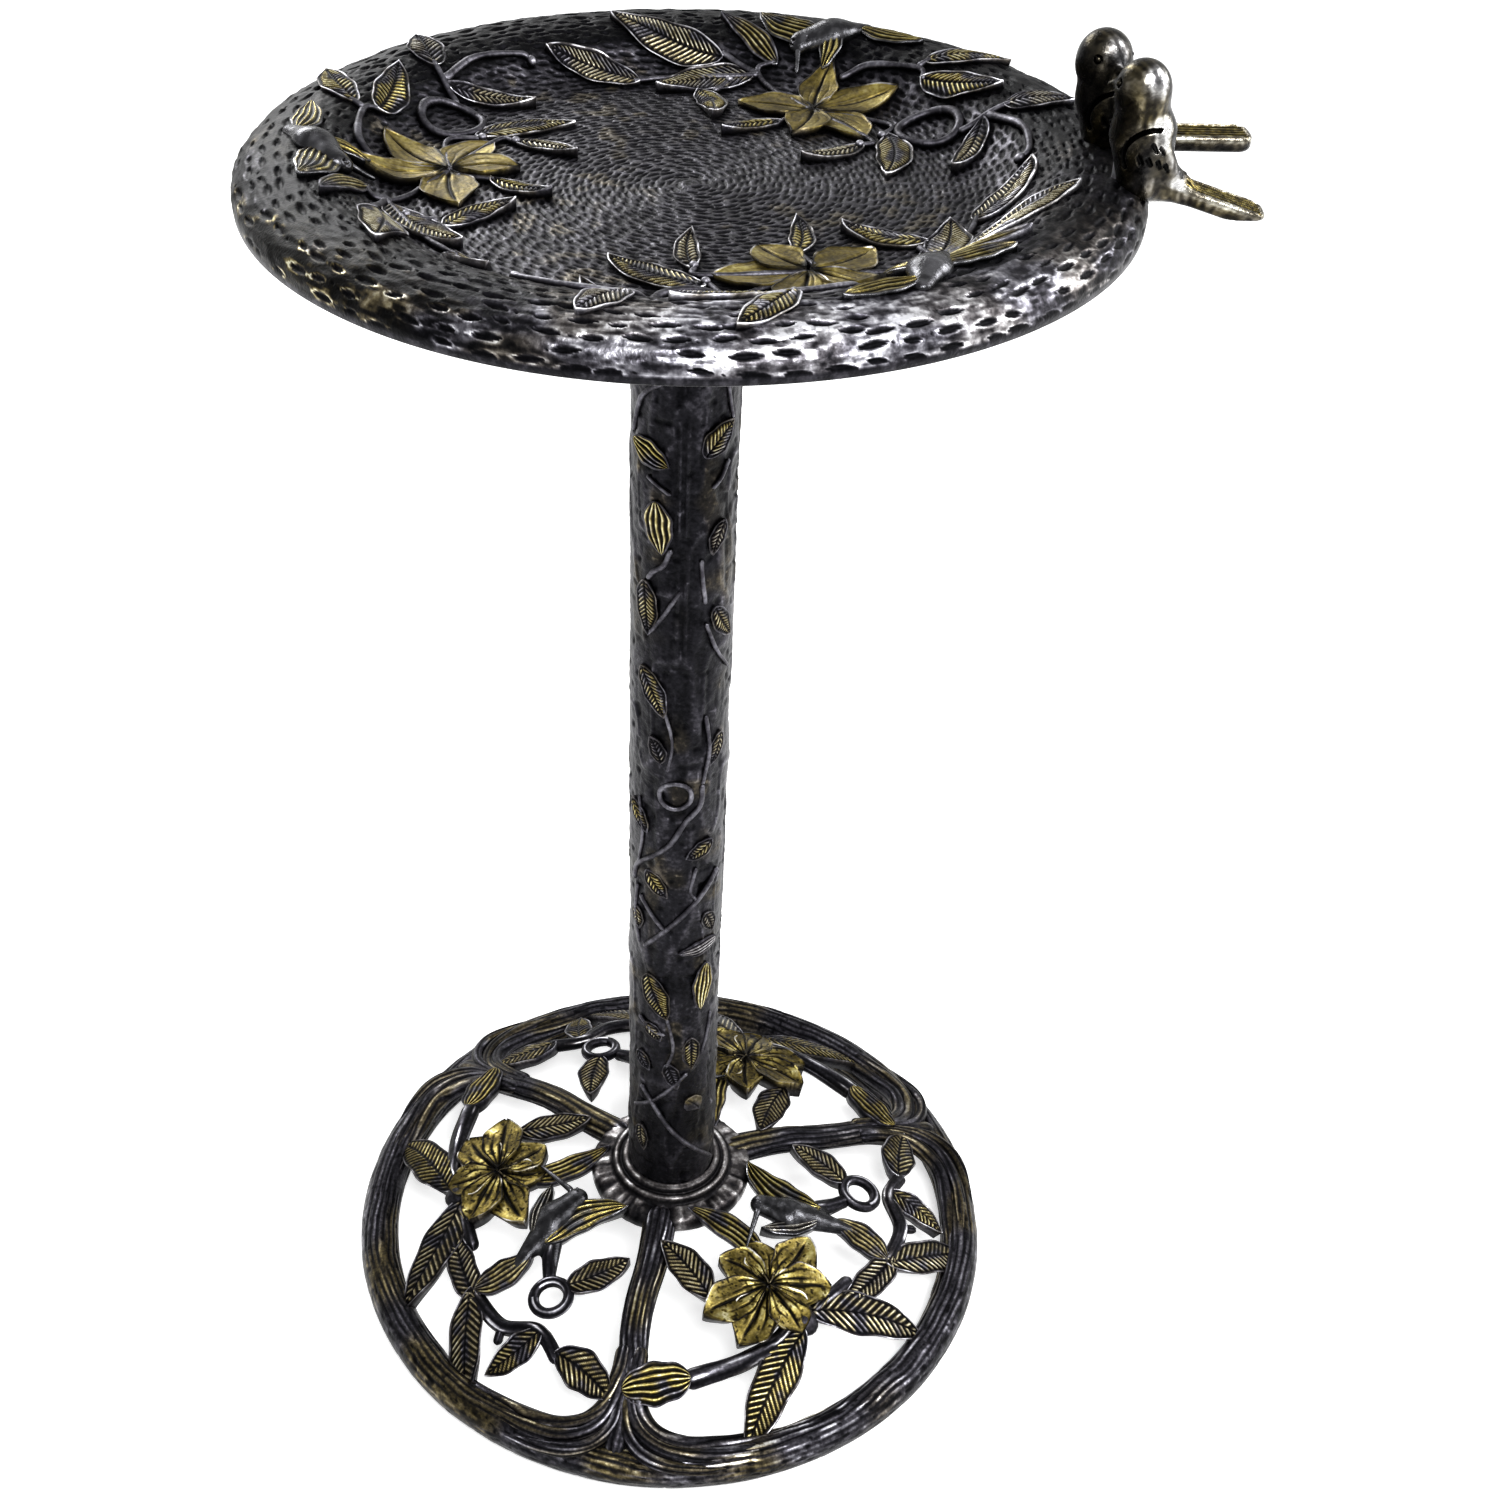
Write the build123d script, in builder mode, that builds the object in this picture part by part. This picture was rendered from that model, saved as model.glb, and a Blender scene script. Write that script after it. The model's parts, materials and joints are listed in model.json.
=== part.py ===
from build123d import *
import os
from math import cos, radians, sin

# Pedestal bird bath, millimetres. Z is up, the origin is on the column axis at ground level,
# and +X points at the pair of songbirds that sit on the rim.

# Bowl
DISH_RADIUS = 227.0          # outer edge
CREST_RADIUS = 198.0         # highest line of the rolled lip
FLOOR_RADIUS = 135.0         # where the flat floor starts to rise
FLOOR_HEIGHT = 798.0         # top of the flat floor
CREST_HEIGHT = 822.0         # top of the lip
LIP_EDGE_HEIGHT = 805.0      # where the lip turns vertical
WALL = 6.0
SKIRT = 5.0                  # straight edge under the lip
UNDERSIDE = FLOOR_HEIGHT - WALL

# Relief on the bowl, as heights above its surface
BLOSSOM_RELIEF = 6.0
LEAF_RELIEF = 4.0
HUMMINGBIRD_RELIEF = 8.0
RELIEF_INNER_RADIUS = 20.0
RELIEF_OUTER_INSET = 4.0

# Column
COLUMN_RADIUS = 30.3
COLUMN_BORE = 26.0
GASKET_THICKNESS = 2.0
COLUMN_TOP = UNDERSIDE - GASKET_THICKNESS

# Base
RING_RADIUS = 212.0          # centre line of the bough that rests on the ground
BOUGH_RADIUS = 14.0
BOUGH_CENTRE = 13.0          # the lowest millimetre is cut flat to stand on
DOME_RADIUS = 214.0
DOME_HEIGHT = 72.0
DOME_WALL = 9.0
SOCKET_FLOOR = 50.0          # the column stands on this ledge inside the hub
HUB_FLOOR = 44.0
HUB_SKIRT = 57.0
FLANGE_RADIUS = 56.0
SPOKE_WIDTH = 20.0
ROOT_WIDTH = 46.0            # a spoke flares to this where it grows into the bough
SPOKE_START = 40.0
ROOT_START = 176.0
ROOT_END = 208.0

# Tie rod and its fasteners, M10
ROD_RADIUS = 5.0
ROD_CLEARANCE = 0.05
ROD_BOTTOM = 28.0
ROD_TOP = 786.0
INSERT_RADIUS = 8.0
INSERT_BOTTOM = 774.0        # 12 mm of thread is engaged when the bowl is home
INSERT_TOP = 788.0
BOSS_RADIUS = 14.0
BOSS_BOTTOM = INSERT_BOTTOM
PLATE_TOP = 758.0
PLATE_THICKNESS = 6.0
PLATE_RADIUS = 28.0
NUT_ACROSS_FLATS = 17.0
NUT_HEIGHT = 8.0
WASHER_RADIUS = 16.0
WASHER_THICKNESS = 3.0

# Songbirds on the lip: node, place of the body, tip of the tail, place of the screw
SONGBIRDS = (
    ("songbird_rear", (206.0, 12.0), (283.0, 14.0, 817.0), (205.0, 12.0)),
    ("songbird_front", (216.0, -40.0), (279.0, -44.0, 806.0), (206.0, -38.0)),
)
BIRD_SEAT = 806.0            # the bodies reach down to here before they are trimmed to the lip
BIRD_HEIGHT = 882.0
BIRD_BODY_RADIUS = 18.0
BIRD_HEAD_RADIUS = 13.0
HEAD_FORWARD = 3.0
TAIL_WIDTH = 17.0
TAIL_THICKNESS = 9.0
TAIL_ROUNDING = 3.0
TAIL_ROOT_HEIGHT = 828.0
SCREW_RADIUS = 2.5
SCREW_HEAD_RADIUS = 5.0
SCREW_HEAD_HEIGHT = 3.0
SCREW_SEAT = 816.0
SCREW_TOP = 830.0

# One third of the ornament repeats round the axis. Places in a third are (outward, round),
# with the outward direction through the middle of its flower.
BASE_FLOWER_ANGLES = (62.0, 182.0, 302.0)
DISH_FLOWER_ANGLES = (57.0, 177.0, 297.0)
SPOKE_ANGLE = -41.0
NEXT_SPOKE_ANGLE = SPOKE_ANGLE + 120.0

# Leaves are (base, tip, width)
BASE_FLOWER = (123.0, 3.0)
BASE_PETALS = ((113, 50), (64, 42), (5, 36), (-58, 46), (-94, 50), (-150, 34))
BASE_BLOSSOM_LEAVES = (
    ((148, 18), (187, 90), 28),
    ((158, 10), (201, -64), 26),
    ((112, -36), (58, -43), 25),
    ((108, 10), (44, -12), 20),
    ((147, -68), (133, -116), 31),
)
BASE_KNOT = (154.0, 14.0)
BASE_BUD_STEM = ((150, 8), (159, -18), (155, -46), (146, -74))
BASE_TENDRIL_RING = (84.0, 108.0)
BASE_TENDRIL_LEAVES = (
    ((72, 104), (30, 85), 22),
    ((80, 146), (38, 172), 24),
    ((92, 132), (127, 151), 20),
    ((139, 94), (140, 162), 22),
    ((134, 100), (155, 46), 19),
    ((136, 92), (98, 74), 22),
)
BASE_TENDRIL_STEMS = (
    ((78, 150), (94, 127), (120, 122), (137, 98)),
    ((86, 94), (85, 70)),
)
BASE_HUMMINGBIRD = (((66, 30), (108, 84), 36), ((86, 72), (32, 45), 24))
BASE_HUMMINGBIRD_HEAD = (66.0, 34.0)
BASE_HUMMINGBIRD_BEAK = ((70, 28), (86, 12), 6)

DISH_FLOWER = (122.0, 0.0)
DISH_PETALS = ((105, 42), (18, 46), (-38, 46), (-120, 44), (178, 38))
DISH_LEAVES = (
    ((100, 6), (67, 24), 13),
    ((96, -46), (60, -29), 13),
    ((116, -50), (66, -76), 20),
    ((139, -94), (90, -101), 14),
    ((145, -102), (160, -134), 20),
    ((166, -42), (163, -92), 17),
    ((176, -38), (198, -78), 18),
    ((156, 44), (168, 90), 13),
    ((146, 74), (132, 142), 23),
    ((144, 52), (102, 90), 24),
    ((114, 70), (83, 40), 17),
    ((104, 102), (82, 152), 20),
)
DISH_STEMS = (
    ((116, 6), (98, 7)),
    ((122, 0), (104, -46), (94, -45)),
    ((122, 0), (130, -42), (112, -48)),
    ((131, -84), (139, -94), (146, -104)),
    ((140, -96), (126, -122), (104, -137)),
    ((160, 6), (170, -8), (172, -36), (165, -44)),
    ((172, -36), (178, -40)),
    ((122, 0), (146, 50), (158, 46)),
    ((146, 50), (148, 76)),
    ((146, 50), (122, 86), (102, 106)),
    ((118, 62), (134, 62)),
)
DISH_TENDRIL_RING = (131.0, -66.0)
DISH_TENDRIL_OUTER = 19.0
DISH_HUMMINGBIRD = (
    ((170, 38), (203, 6), 22),
    ((199, 16), (204, -24), 16),
    ((185, 30), (190, 72), 22),
    ((186, 26), (162, 18), 12),
)
DISH_HUMMINGBIRD_HEAD = (171.0, 38.0)
DISH_HUMMINGBIRD_BEAK = ((168, 38), (155, 31), 5)
TENDRIL_OUTER = 17.0
TENDRIL_INNER = 8.0
STEM_WIDTH = 11.0
TWIG_WIDTH = 5.0
PETAL_WIDTH = 30.0
DISH_PETAL_WIDTH = 27.0
HUMMINGBIRD_HEAD_RADIUS = 9.0


def finish(piece, name):
    """Labels one finished piece and writes it to its own file."""
    piece.part.label = name
    export_step(piece.part, f"parts/{name}.step")


def bowl_line(drop, inset):
    """Draws a line parallel to the bowl's surface, from the axis to the edge of the lip."""
    floor = FLOOR_HEIGHT - drop
    crest = CREST_HEIGHT - drop
    Line((0, floor), (FLOOR_RADIUS, floor))
    half_way = ((FLOOR_RADIUS + CREST_RADIUS) / 2, (floor + crest) / 2)
    rise = TangentArc((FLOOR_RADIUS, floor), half_way, tangent=(1, 0))
    TangentArc(half_way, (CREST_RADIUS, crest), tangent=rise % 1)
    EllipticalCenterArc(
        (CREST_RADIUS, LIP_EDGE_HEIGHT),
        DISH_RADIUS - CREST_RADIUS - inset,
        crest - LIP_EDGE_HEIGHT,
        start_angle=0,
        arc_size=90,
    )


def leaf(base, tip, width):
    """Adds a pointed leaf outline with a rounded base to the sketch in hand."""
    start = Vector(*base)
    end = Vector(*tip)
    middle = (start + end) / 2
    side = (end - start).normalized().rotate(Axis.Z, 90) * (width / 2)
    with BuildLine() as outline:
        ThreePointArc(start, middle + side, end)
        ThreePointArc(end, middle - side, start)
    make_face(outline.edges())
    with Locations(start):
        Circle(width / 6)


def stem(points, width):
    """Adds a chain of round-ended straight stems to the sketch in hand."""
    for near, far in zip(points, points[1:]):
        start = Vector(*near)
        run = Vector(*far) - start
        turn = Vector(1, 0, 0).get_signed_angle(run, Vector(0, 0, 1))
        middle = start + run / 2
        with Locations(Location((middle.X, middle.Y, 0), (0, 0, turn))):
            SlotCenterToCenter(run.length, width)


def petals(centre, spread, width):
    """Adds one flower to the sketch in hand, from the (angle, length) of each petal."""
    for angle, length in spread:
        tip = (centre[0] + length * cos(radians(angle)), centre[1] + length * sin(radians(angle)))
        leaf(centre, tip, width)
    with Locations(centre):
        Circle(width / 2)


def spoke_outline(angle):
    """Adds one spoke, from the hub to its flared root in the bough."""
    outward = Vector(1, 0, 0).rotate(Axis.Z, angle)
    aside = Vector(0, 1, 0).rotate(Axis.Z, angle)
    corners = (
        (SPOKE_START, SPOKE_WIDTH / 2),
        (ROOT_START, SPOKE_WIDTH / 2),
        (ROOT_END, ROOT_WIDTH / 2),
        (ROOT_END, -ROOT_WIDTH / 2),
        (ROOT_START, -SPOKE_WIDTH / 2),
        (SPOKE_START, -SPOKE_WIDTH / 2),
    )
    with BuildLine() as outline:
        Polyline(*[outward * reach + aside * half for reach, half in corners], close=True)
    make_face(outline.edges())


def copies(piece, name, angles):
    """Writes one copy of a piece at each angle round the axis."""
    for number, angle in enumerate(angles, start=1):
        with BuildPart() as copy:
            add(piece.part, rotation=(0, 0, angle))
        finish(copy, f"{name}_{number}")


os.makedirs("parts", exist_ok=True)

# --- Base ---------------------------------------------------------------------------------

with BuildPart() as bough:
    with BuildSketch(Plane.XZ):
        with Locations((RING_RADIUS, BOUGH_CENTRE)):
            Circle(BOUGH_RADIUS)
        with Locations((RING_RADIUS, -BOUGH_RADIUS / 2)):
            Rectangle(3 * BOUGH_RADIUS, BOUGH_RADIUS, mode=Mode.SUBTRACT)
    revolve(axis=Axis.Z)
finish(bough, "base_ring")

with BuildPart() as hub:
    with BuildSketch(Plane.XZ):
        with BuildLine():
            Polyline(
                (ROD_RADIUS + ROD_CLEARANCE, HUB_FLOOR),
                (36, HUB_FLOOR),
                (42, HUB_SKIRT),
                (FLANGE_RADIUS, HUB_SKIRT),
                (FLANGE_RADIUS, 68),
                (42, 71),
                (41, 75),
                (37, 76),
                (36, 74.5),
                (35, 78),
                (COLUMN_RADIUS, 78),
                (COLUMN_RADIUS, SOCKET_FLOOR),
                (ROD_RADIUS + ROD_CLEARANCE, SOCKET_FLOOR),
                close=True,
            )
        make_face()
    revolve(axis=Axis.Z)
finish(hub, "base_hub")

with BuildPart() as dome:
    with BuildSketch(Plane.XZ):
        with BuildLine():
            EllipticalCenterArc((0, 0), DOME_RADIUS, DOME_HEIGHT, start_angle=0, arc_size=90)
            EllipticalCenterArc(
                (0, 0), DOME_RADIUS - DOME_WALL, DOME_HEIGHT - DOME_WALL, start_angle=0, arc_size=90
            )
            Line((0, DOME_HEIGHT - DOME_WALL), (0, DOME_HEIGHT))
            Line((DOME_RADIUS - DOME_WALL, 0), (DOME_RADIUS, 0))
        make_face()
    revolve(axis=Axis.Z)


def dome_piece(outline):
    """Cuts one openwork piece out of the dome and trims it against the hub and the bough."""
    with BuildPart() as piece:
        with BuildSketch(Plane.XY.offset(BOUGH_CENTRE)):
            add(outline.sketch)
        extrude(amount=DOME_HEIGHT)
        add(dome.part, mode=Mode.INTERSECT)
        add(hub.part, mode=Mode.SUBTRACT)
        add(bough.part, mode=Mode.SUBTRACT)
    return piece


with BuildSketch() as spoke_shape:
    spoke_outline(SPOKE_ANGLE)
with BuildSketch() as next_spoke_shape:
    spoke_outline(NEXT_SPOKE_ANGLE)

with BuildSketch() as blossom_shape:
    petals(BASE_FLOWER, BASE_PETALS, PETAL_WIDTH)
    for base, tip, width in BASE_BLOSSOM_LEAVES:
        leaf(base, tip, width)
    stem(BASE_BUD_STEM, STEM_WIDTH)
    with Locations(BASE_KNOT):
        Circle(STEM_WIDTH)
    add(spoke_shape.sketch, mode=Mode.SUBTRACT)

with BuildSketch() as tendril_shape:
    for base, tip, width in BASE_TENDRIL_LEAVES:
        leaf(base, tip, width)
    for points in BASE_TENDRIL_STEMS:
        stem(points, STEM_WIDTH)
    with Locations(BASE_TENDRIL_RING):
        Circle(TENDRIL_OUTER)
        Circle(TENDRIL_INNER, mode=Mode.SUBTRACT)
    add(blossom_shape.sketch, mode=Mode.SUBTRACT)
    add(next_spoke_shape.sketch, mode=Mode.SUBTRACT)

with BuildSketch() as hummingbird_shape:
    for base, tip, width in BASE_HUMMINGBIRD:
        leaf(base, tip, width)
    leaf(*BASE_HUMMINGBIRD_BEAK)
    with Locations(BASE_HUMMINGBIRD_HEAD):
        Circle(HUMMINGBIRD_HEAD_RADIUS)
    add(blossom_shape.sketch, mode=Mode.SUBTRACT)
    add(tendril_shape.sketch, mode=Mode.SUBTRACT)

copies(dome_piece(spoke_shape), "base_spoke", BASE_FLOWER_ANGLES)
copies(dome_piece(blossom_shape), "base_blossom", BASE_FLOWER_ANGLES)
copies(dome_piece(tendril_shape), "base_tendril", BASE_FLOWER_ANGLES)
copies(dome_piece(hummingbird_shape), "base_hummingbird", BASE_FLOWER_ANGLES)

# --- Column and the hardware inside it ----------------------------------------------------

with BuildPart() as column:
    with BuildSketch(Plane.XY.offset(SOCKET_FLOOR)):
        Circle(COLUMN_RADIUS)
        Circle(COLUMN_BORE, mode=Mode.SUBTRACT)
    extrude(amount=COLUMN_TOP - SOCKET_FLOOR)
    with BuildSketch(Plane.XY.offset(COLUMN_TOP)):
        Circle(PLATE_RADIUS)
    extrude(amount=PLATE_TOP - PLATE_THICKNESS - COLUMN_TOP, mode=Mode.SUBTRACT)
finish(column, "column")

with BuildPart() as rod:
    with BuildSketch(Plane.XY.offset(ROD_BOTTOM)):
        Circle(ROD_RADIUS)
    extrude(amount=ROD_TOP - ROD_BOTTOM)
    chamfer(rod.edges().group_by(Axis.Z)[0] + rod.edges().group_by(Axis.Z)[-1], length=1)
finish(rod, "tie_rod")


def plain_ring(bottom, height, outer, inner):
    """A flat ring on the column axis."""
    with BuildPart() as ring:
        with BuildSketch(Plane.XY.offset(bottom)):
            Circle(outer)
            Circle(inner, mode=Mode.SUBTRACT)
        extrude(amount=height)
    return ring


def hex_nut(bottom):
    """A plain hexagon nut on the tie rod."""
    with BuildPart() as nut:
        with BuildSketch(Plane.XY.offset(bottom)):
            RegularPolygon(NUT_ACROSS_FLATS / 2, 6, major_radius=False)
            Circle(ROD_RADIUS, mode=Mode.SUBTRACT)
        extrude(amount=NUT_HEIGHT)
    return nut


rod_hole = ROD_RADIUS + ROD_CLEARANCE
finish(plain_ring(HUB_FLOOR - WASHER_THICKNESS, WASHER_THICKNESS, WASHER_RADIUS, rod_hole), "base_washer")
finish(hex_nut(HUB_FLOOR - WASHER_THICKNESS - NUT_HEIGHT), "base_nut")
finish(plain_ring(PLATE_TOP - PLATE_THICKNESS, PLATE_THICKNESS, PLATE_RADIUS, rod_hole), "top_plate")
finish(hex_nut(PLATE_TOP), "top_nut")
finish(plain_ring(COLUMN_TOP, GASKET_THICKNESS, COLUMN_RADIUS, COLUMN_BORE + 1), "gasket")

# --- Bowl ---------------------------------------------------------------------------------

with BuildPart() as bowl:
    with BuildSketch(Plane.XZ):
        with BuildLine():
            bowl_line(0, 0)
            Line((DISH_RADIUS, LIP_EDGE_HEIGHT), (DISH_RADIUS, LIP_EDGE_HEIGHT - SKIRT))
            Line((DISH_RADIUS - WALL, LIP_EDGE_HEIGHT - SKIRT), (DISH_RADIUS, LIP_EDGE_HEIGHT - SKIRT))
            Line((DISH_RADIUS - WALL, LIP_EDGE_HEIGHT - SKIRT), (DISH_RADIUS - WALL, LIP_EDGE_HEIGHT))
            bowl_line(WALL, WALL)
            Line((0, FLOOR_HEIGHT - WALL), (0, FLOOR_HEIGHT))
        make_face()
    revolve(axis=Axis.Z)
    with BuildSketch(Plane.XY.offset(BOSS_BOTTOM)):
        Circle(BOSS_RADIUS)
    extrude(amount=UNDERSIDE - BOSS_BOTTOM)
    with BuildSketch(Plane.XY.offset(BOSS_BOTTOM)):
        Circle(INSERT_RADIUS)
    extrude(amount=INSERT_TOP - BOSS_BOTTOM, mode=Mode.SUBTRACT)

with BuildPart() as insert:
    with BuildSketch(Plane.XY.offset(INSERT_BOTTOM)):
        Circle(INSERT_RADIUS)
        Circle(rod_hole, mode=Mode.SUBTRACT)
    extrude(amount=INSERT_TOP - INSERT_BOTTOM)
finish(insert, "threaded_insert")


def relief(outline, height):
    """Raises one outline off the bowl's surface by a constant height."""
    with BuildPart() as piece:
        with BuildSketch(Plane.XZ):
            with BuildLine():
                bowl_line(-height, 0)
                bowl_line(0, 0)
                Line((0, FLOOR_HEIGHT), (0, FLOOR_HEIGHT + height))
            make_face()
        revolve(axis=Axis.Z)
        extrude(outline.sketch, amount=CREST_HEIGHT + 2 * height, mode=Mode.INTERSECT)
    return piece


with BuildSketch() as dish_blossom_shape:
    petals(DISH_FLOWER, DISH_PETALS, DISH_PETAL_WIDTH)

with BuildSketch() as dish_spray_shape:
    for base, tip, width in DISH_LEAVES:
        leaf(base, tip, width)
    for points in DISH_STEMS:
        stem(points, TWIG_WIDTH)
    with Locations(DISH_TENDRIL_RING):
        Circle(DISH_TENDRIL_OUTER)
        Circle(DISH_TENDRIL_OUTER - TWIG_WIDTH, mode=Mode.SUBTRACT)
    add(dish_blossom_shape.sketch, mode=Mode.SUBTRACT)

with BuildSketch() as dish_hummingbird_shape:
    for base, tip, width in DISH_HUMMINGBIRD:
        leaf(base, tip, width)
    leaf(*DISH_HUMMINGBIRD_BEAK)
    with Locations(DISH_HUMMINGBIRD_HEAD):
        Circle(HUMMINGBIRD_HEAD_RADIUS)
    add(dish_spray_shape.sketch, mode=Mode.SUBTRACT)
    add(dish_blossom_shape.sketch, mode=Mode.SUBTRACT)

copies(relief(dish_blossom_shape, BLOSSOM_RELIEF), "dish_blossom", DISH_FLOWER_ANGLES)
copies(relief(dish_spray_shape, LEAF_RELIEF), "dish_spray", DISH_FLOWER_ANGLES)
copies(relief(dish_hummingbird_shape, HUMMINGBIRD_RELIEF), "dish_hummingbird", DISH_FLOWER_ANGLES)

# --- Songbirds and the screws that hold them ----------------------------------------------


with BuildPart() as bed:
    with BuildSketch(Plane.XZ):
        with BuildLine():
            bowl_line(0, 0)
            Polyline(
                (DISH_RADIUS, LIP_EDGE_HEIGHT),
                (DISH_RADIUS, BOSS_BOTTOM),
                (0, BOSS_BOTTOM),
                (0, FLOOR_HEIGHT),
            )
        make_face()
    revolve(axis=Axis.Z)


def upright(place, radius, bottom, top):
    """A plain upright cylinder at an (outward, sideways) place."""
    with BuildPart() as cylinder:
        with BuildSketch(Plane((*place, bottom))):
            Circle(radius)
        extrude(amount=top - bottom)
    return cylinder


def songbird(place, tail_tip, screw_place):
    """One sitting bird, facing the middle of the bowl, with its tail out over the edge."""
    outward, sideways = place
    head_height = BIRD_HEIGHT - BIRD_HEAD_RADIUS
    tail_root = Vector(outward, sideways, TAIL_ROOT_HEIGHT)
    tail = Vector(*tail_tip) - tail_root
    with BuildPart() as bird:
        with BuildSketch(Plane.XZ.offset(-sideways)):
            with Locations((outward, (BIRD_SEAT + head_height) / 2)):
                Ellipse(BIRD_BODY_RADIUS, (head_height - BIRD_SEAT) / 2)
            with Locations((outward - BIRD_BODY_RADIUS, head_height)):
                Rectangle(2 * BIRD_BODY_RADIUS, 2 * BIRD_HEIGHT, mode=Mode.SUBTRACT)
        revolve(axis=Axis((outward, sideways, 0), (0, 0, 1)))
        with BuildSketch(Plane(tail_root, x_dir=(0, 1, 0), z_dir=tail)):
            RectangleRounded(TAIL_WIDTH, TAIL_THICKNESS, TAIL_ROUNDING)
        extrude(amount=tail.length)
        with Locations((outward - HEAD_FORWARD, sideways, head_height)):
            Sphere(BIRD_HEAD_RADIUS)
        add(bed.part, mode=Mode.SUBTRACT)
        add(upright(screw_place, SCREW_RADIUS, SCREW_SEAT, SCREW_TOP).part, mode=Mode.SUBTRACT)
    return bird


for name, place, tail_tip, screw_place in SONGBIRDS:
    finish(songbird(place, tail_tip, screw_place), name)

with BuildPart() as screws:
    for *_, screw_place in SONGBIRDS:
        add(upright(screw_place, SCREW_RADIUS, SCREW_SEAT, SCREW_TOP).part)
        add(upright(screw_place, SCREW_HEAD_RADIUS, SCREW_SEAT - SCREW_HEAD_HEIGHT, SCREW_SEAT).part)
finish(screws, "bird_screws")

with BuildPart() as dish:
    add(bowl.part)
    for *_, screw_place in SONGBIRDS:
        add(upright(screw_place, SCREW_RADIUS, SCREW_SEAT, SCREW_TOP).part, mode=Mode.SUBTRACT)
        add(upright(screw_place, SCREW_HEAD_RADIUS, LIP_EDGE_HEIGHT, SCREW_SEAT).part, mode=Mode.SUBTRACT)
finish(dish, "dish")
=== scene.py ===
import json
import math

import bpy
import numpy as np
from mathutils import Matrix, Vector


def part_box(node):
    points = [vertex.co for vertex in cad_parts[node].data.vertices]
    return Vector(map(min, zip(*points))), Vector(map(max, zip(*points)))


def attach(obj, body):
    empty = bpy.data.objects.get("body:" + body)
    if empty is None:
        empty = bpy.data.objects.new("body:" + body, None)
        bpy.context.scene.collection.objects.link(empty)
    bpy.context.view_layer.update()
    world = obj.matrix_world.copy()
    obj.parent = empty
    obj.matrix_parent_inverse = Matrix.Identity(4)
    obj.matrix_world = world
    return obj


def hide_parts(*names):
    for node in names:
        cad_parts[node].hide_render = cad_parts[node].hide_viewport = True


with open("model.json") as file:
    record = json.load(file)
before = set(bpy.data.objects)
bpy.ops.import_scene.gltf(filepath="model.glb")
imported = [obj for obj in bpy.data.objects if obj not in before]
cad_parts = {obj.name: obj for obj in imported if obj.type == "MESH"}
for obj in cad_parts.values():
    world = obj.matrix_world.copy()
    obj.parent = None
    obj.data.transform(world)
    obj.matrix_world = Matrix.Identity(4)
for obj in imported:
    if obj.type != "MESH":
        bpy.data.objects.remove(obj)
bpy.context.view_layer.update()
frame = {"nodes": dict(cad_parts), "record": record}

# Lengths are millimetres in the part's own frame, and become metres when a mesh is made.
MM = 0.001
TAU = 2 * math.pi


def box_mm(node):
    """Lowest and highest corner of a CAD node, in millimetres."""
    low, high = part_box(node)
    return np.array(low) / MM, np.array(high) / MM


dish_low, dish_high = box_mm("dish")
column_low, column_high = box_mm("column")

# Bowl: its outline comes from the CAD box and the depth of the pressing
RIM = dish_high[0]
CREST_Z = dish_high[2]
CREST_R = RIM - 29
FLOOR_R = RIM - 92
FLOOR_Z = CREST_Z - 24
EDGE_Z = CREST_Z - 17
LIP_R = 172.0
WALL = 6.0
SKIRT = 5.0
BOSS_R = 14.0
BOSS_Z = dish_low[2]
SOCKET_R = 8.1
SOCKET_TOP = box_mm("threaded_insert")[1][2]
CENTRE_R = 2.0

# Base and column
BOUGH = 14.0
RING_R = box_mm("base_ring")[1][0] - BOUGH
BOUGH_Z = 13.0
DOME_R = RING_R + 2
DOME_H = 72.0
COLUMN_R = column_high[0]
COLUMN_WALL = 4.3
COLUMN_FOOT, COLUMN_TOP = column_low[2], column_high[2]
SPOKE = -41.0
BASE_ANGLES = (62.0, 182.0, 302.0)
DISH_ANGLES = (57.0, 177.0, 297.0)

# Ornament, one third of it, as (outward, round) places with the flower's direction outward. A petal is its
# angle, length and width.
BASE_FLOWER = (123.0, 3.0)
BASE_PETALS = ((113, 50, 30), (64, 43, 30), (5, 37, 30), (-58, 46, 32), (-94, 50, 30), (-150, 38, 28),
               (172, 34, 24))
DISH_FLOWER = (122.0, 0.0)
DISH_PETALS = ((105, 43, 30), (18, 50, 22), (-38, 50, 28), (-112, 46, 27), (-168, 36, 25))


# Deterministic noise and soft steps


def scatter(i, j, seed):
    """A fixed random number from 0 to 1 for each pair of whole numbers."""
    n = (i * 374761393 + j * 668265263 + seed * 974711 + 12345) & 0xFFFFFFFF
    n = ((n ^ (n >> 13)) * 1274126177) & 0xFFFFFFFF
    return ((n ^ (n >> 16)) & 0xFFFFFF) / 0xFFFFFF


def noise(x, y, seed=0, period_x=None, period_y=None):
    """Smooth noise from 0 to 1 that may repeat after whole numbers of steps."""
    i, j = np.floor(x).astype(np.int64), np.floor(y).astype(np.int64)
    u, v = x - i, y - j
    u, v = u * u * (3 - 2 * u), v * v * (3 - 2 * v)

    def at(a, b):
        return scatter(a % period_x if period_x else a, b % period_y if period_y else b, seed)

    near = at(i, j) * (1 - u) + at(i + 1, j) * u
    far = at(i, j + 1) * (1 - u) + at(i + 1, j + 1) * u
    return near * (1 - v) + far * v


def step_up(x, low, high):
    """0 below low, 1 above high, smooth between."""
    t = np.clip((x - low) / (high - low), 0, 1)
    return t * t * (3 - 2 * t)


def bell(x, width):
    """1 where x is 0, falling to 0 over about twice the width."""
    return np.exp(-((x / width) ** 2))


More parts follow.
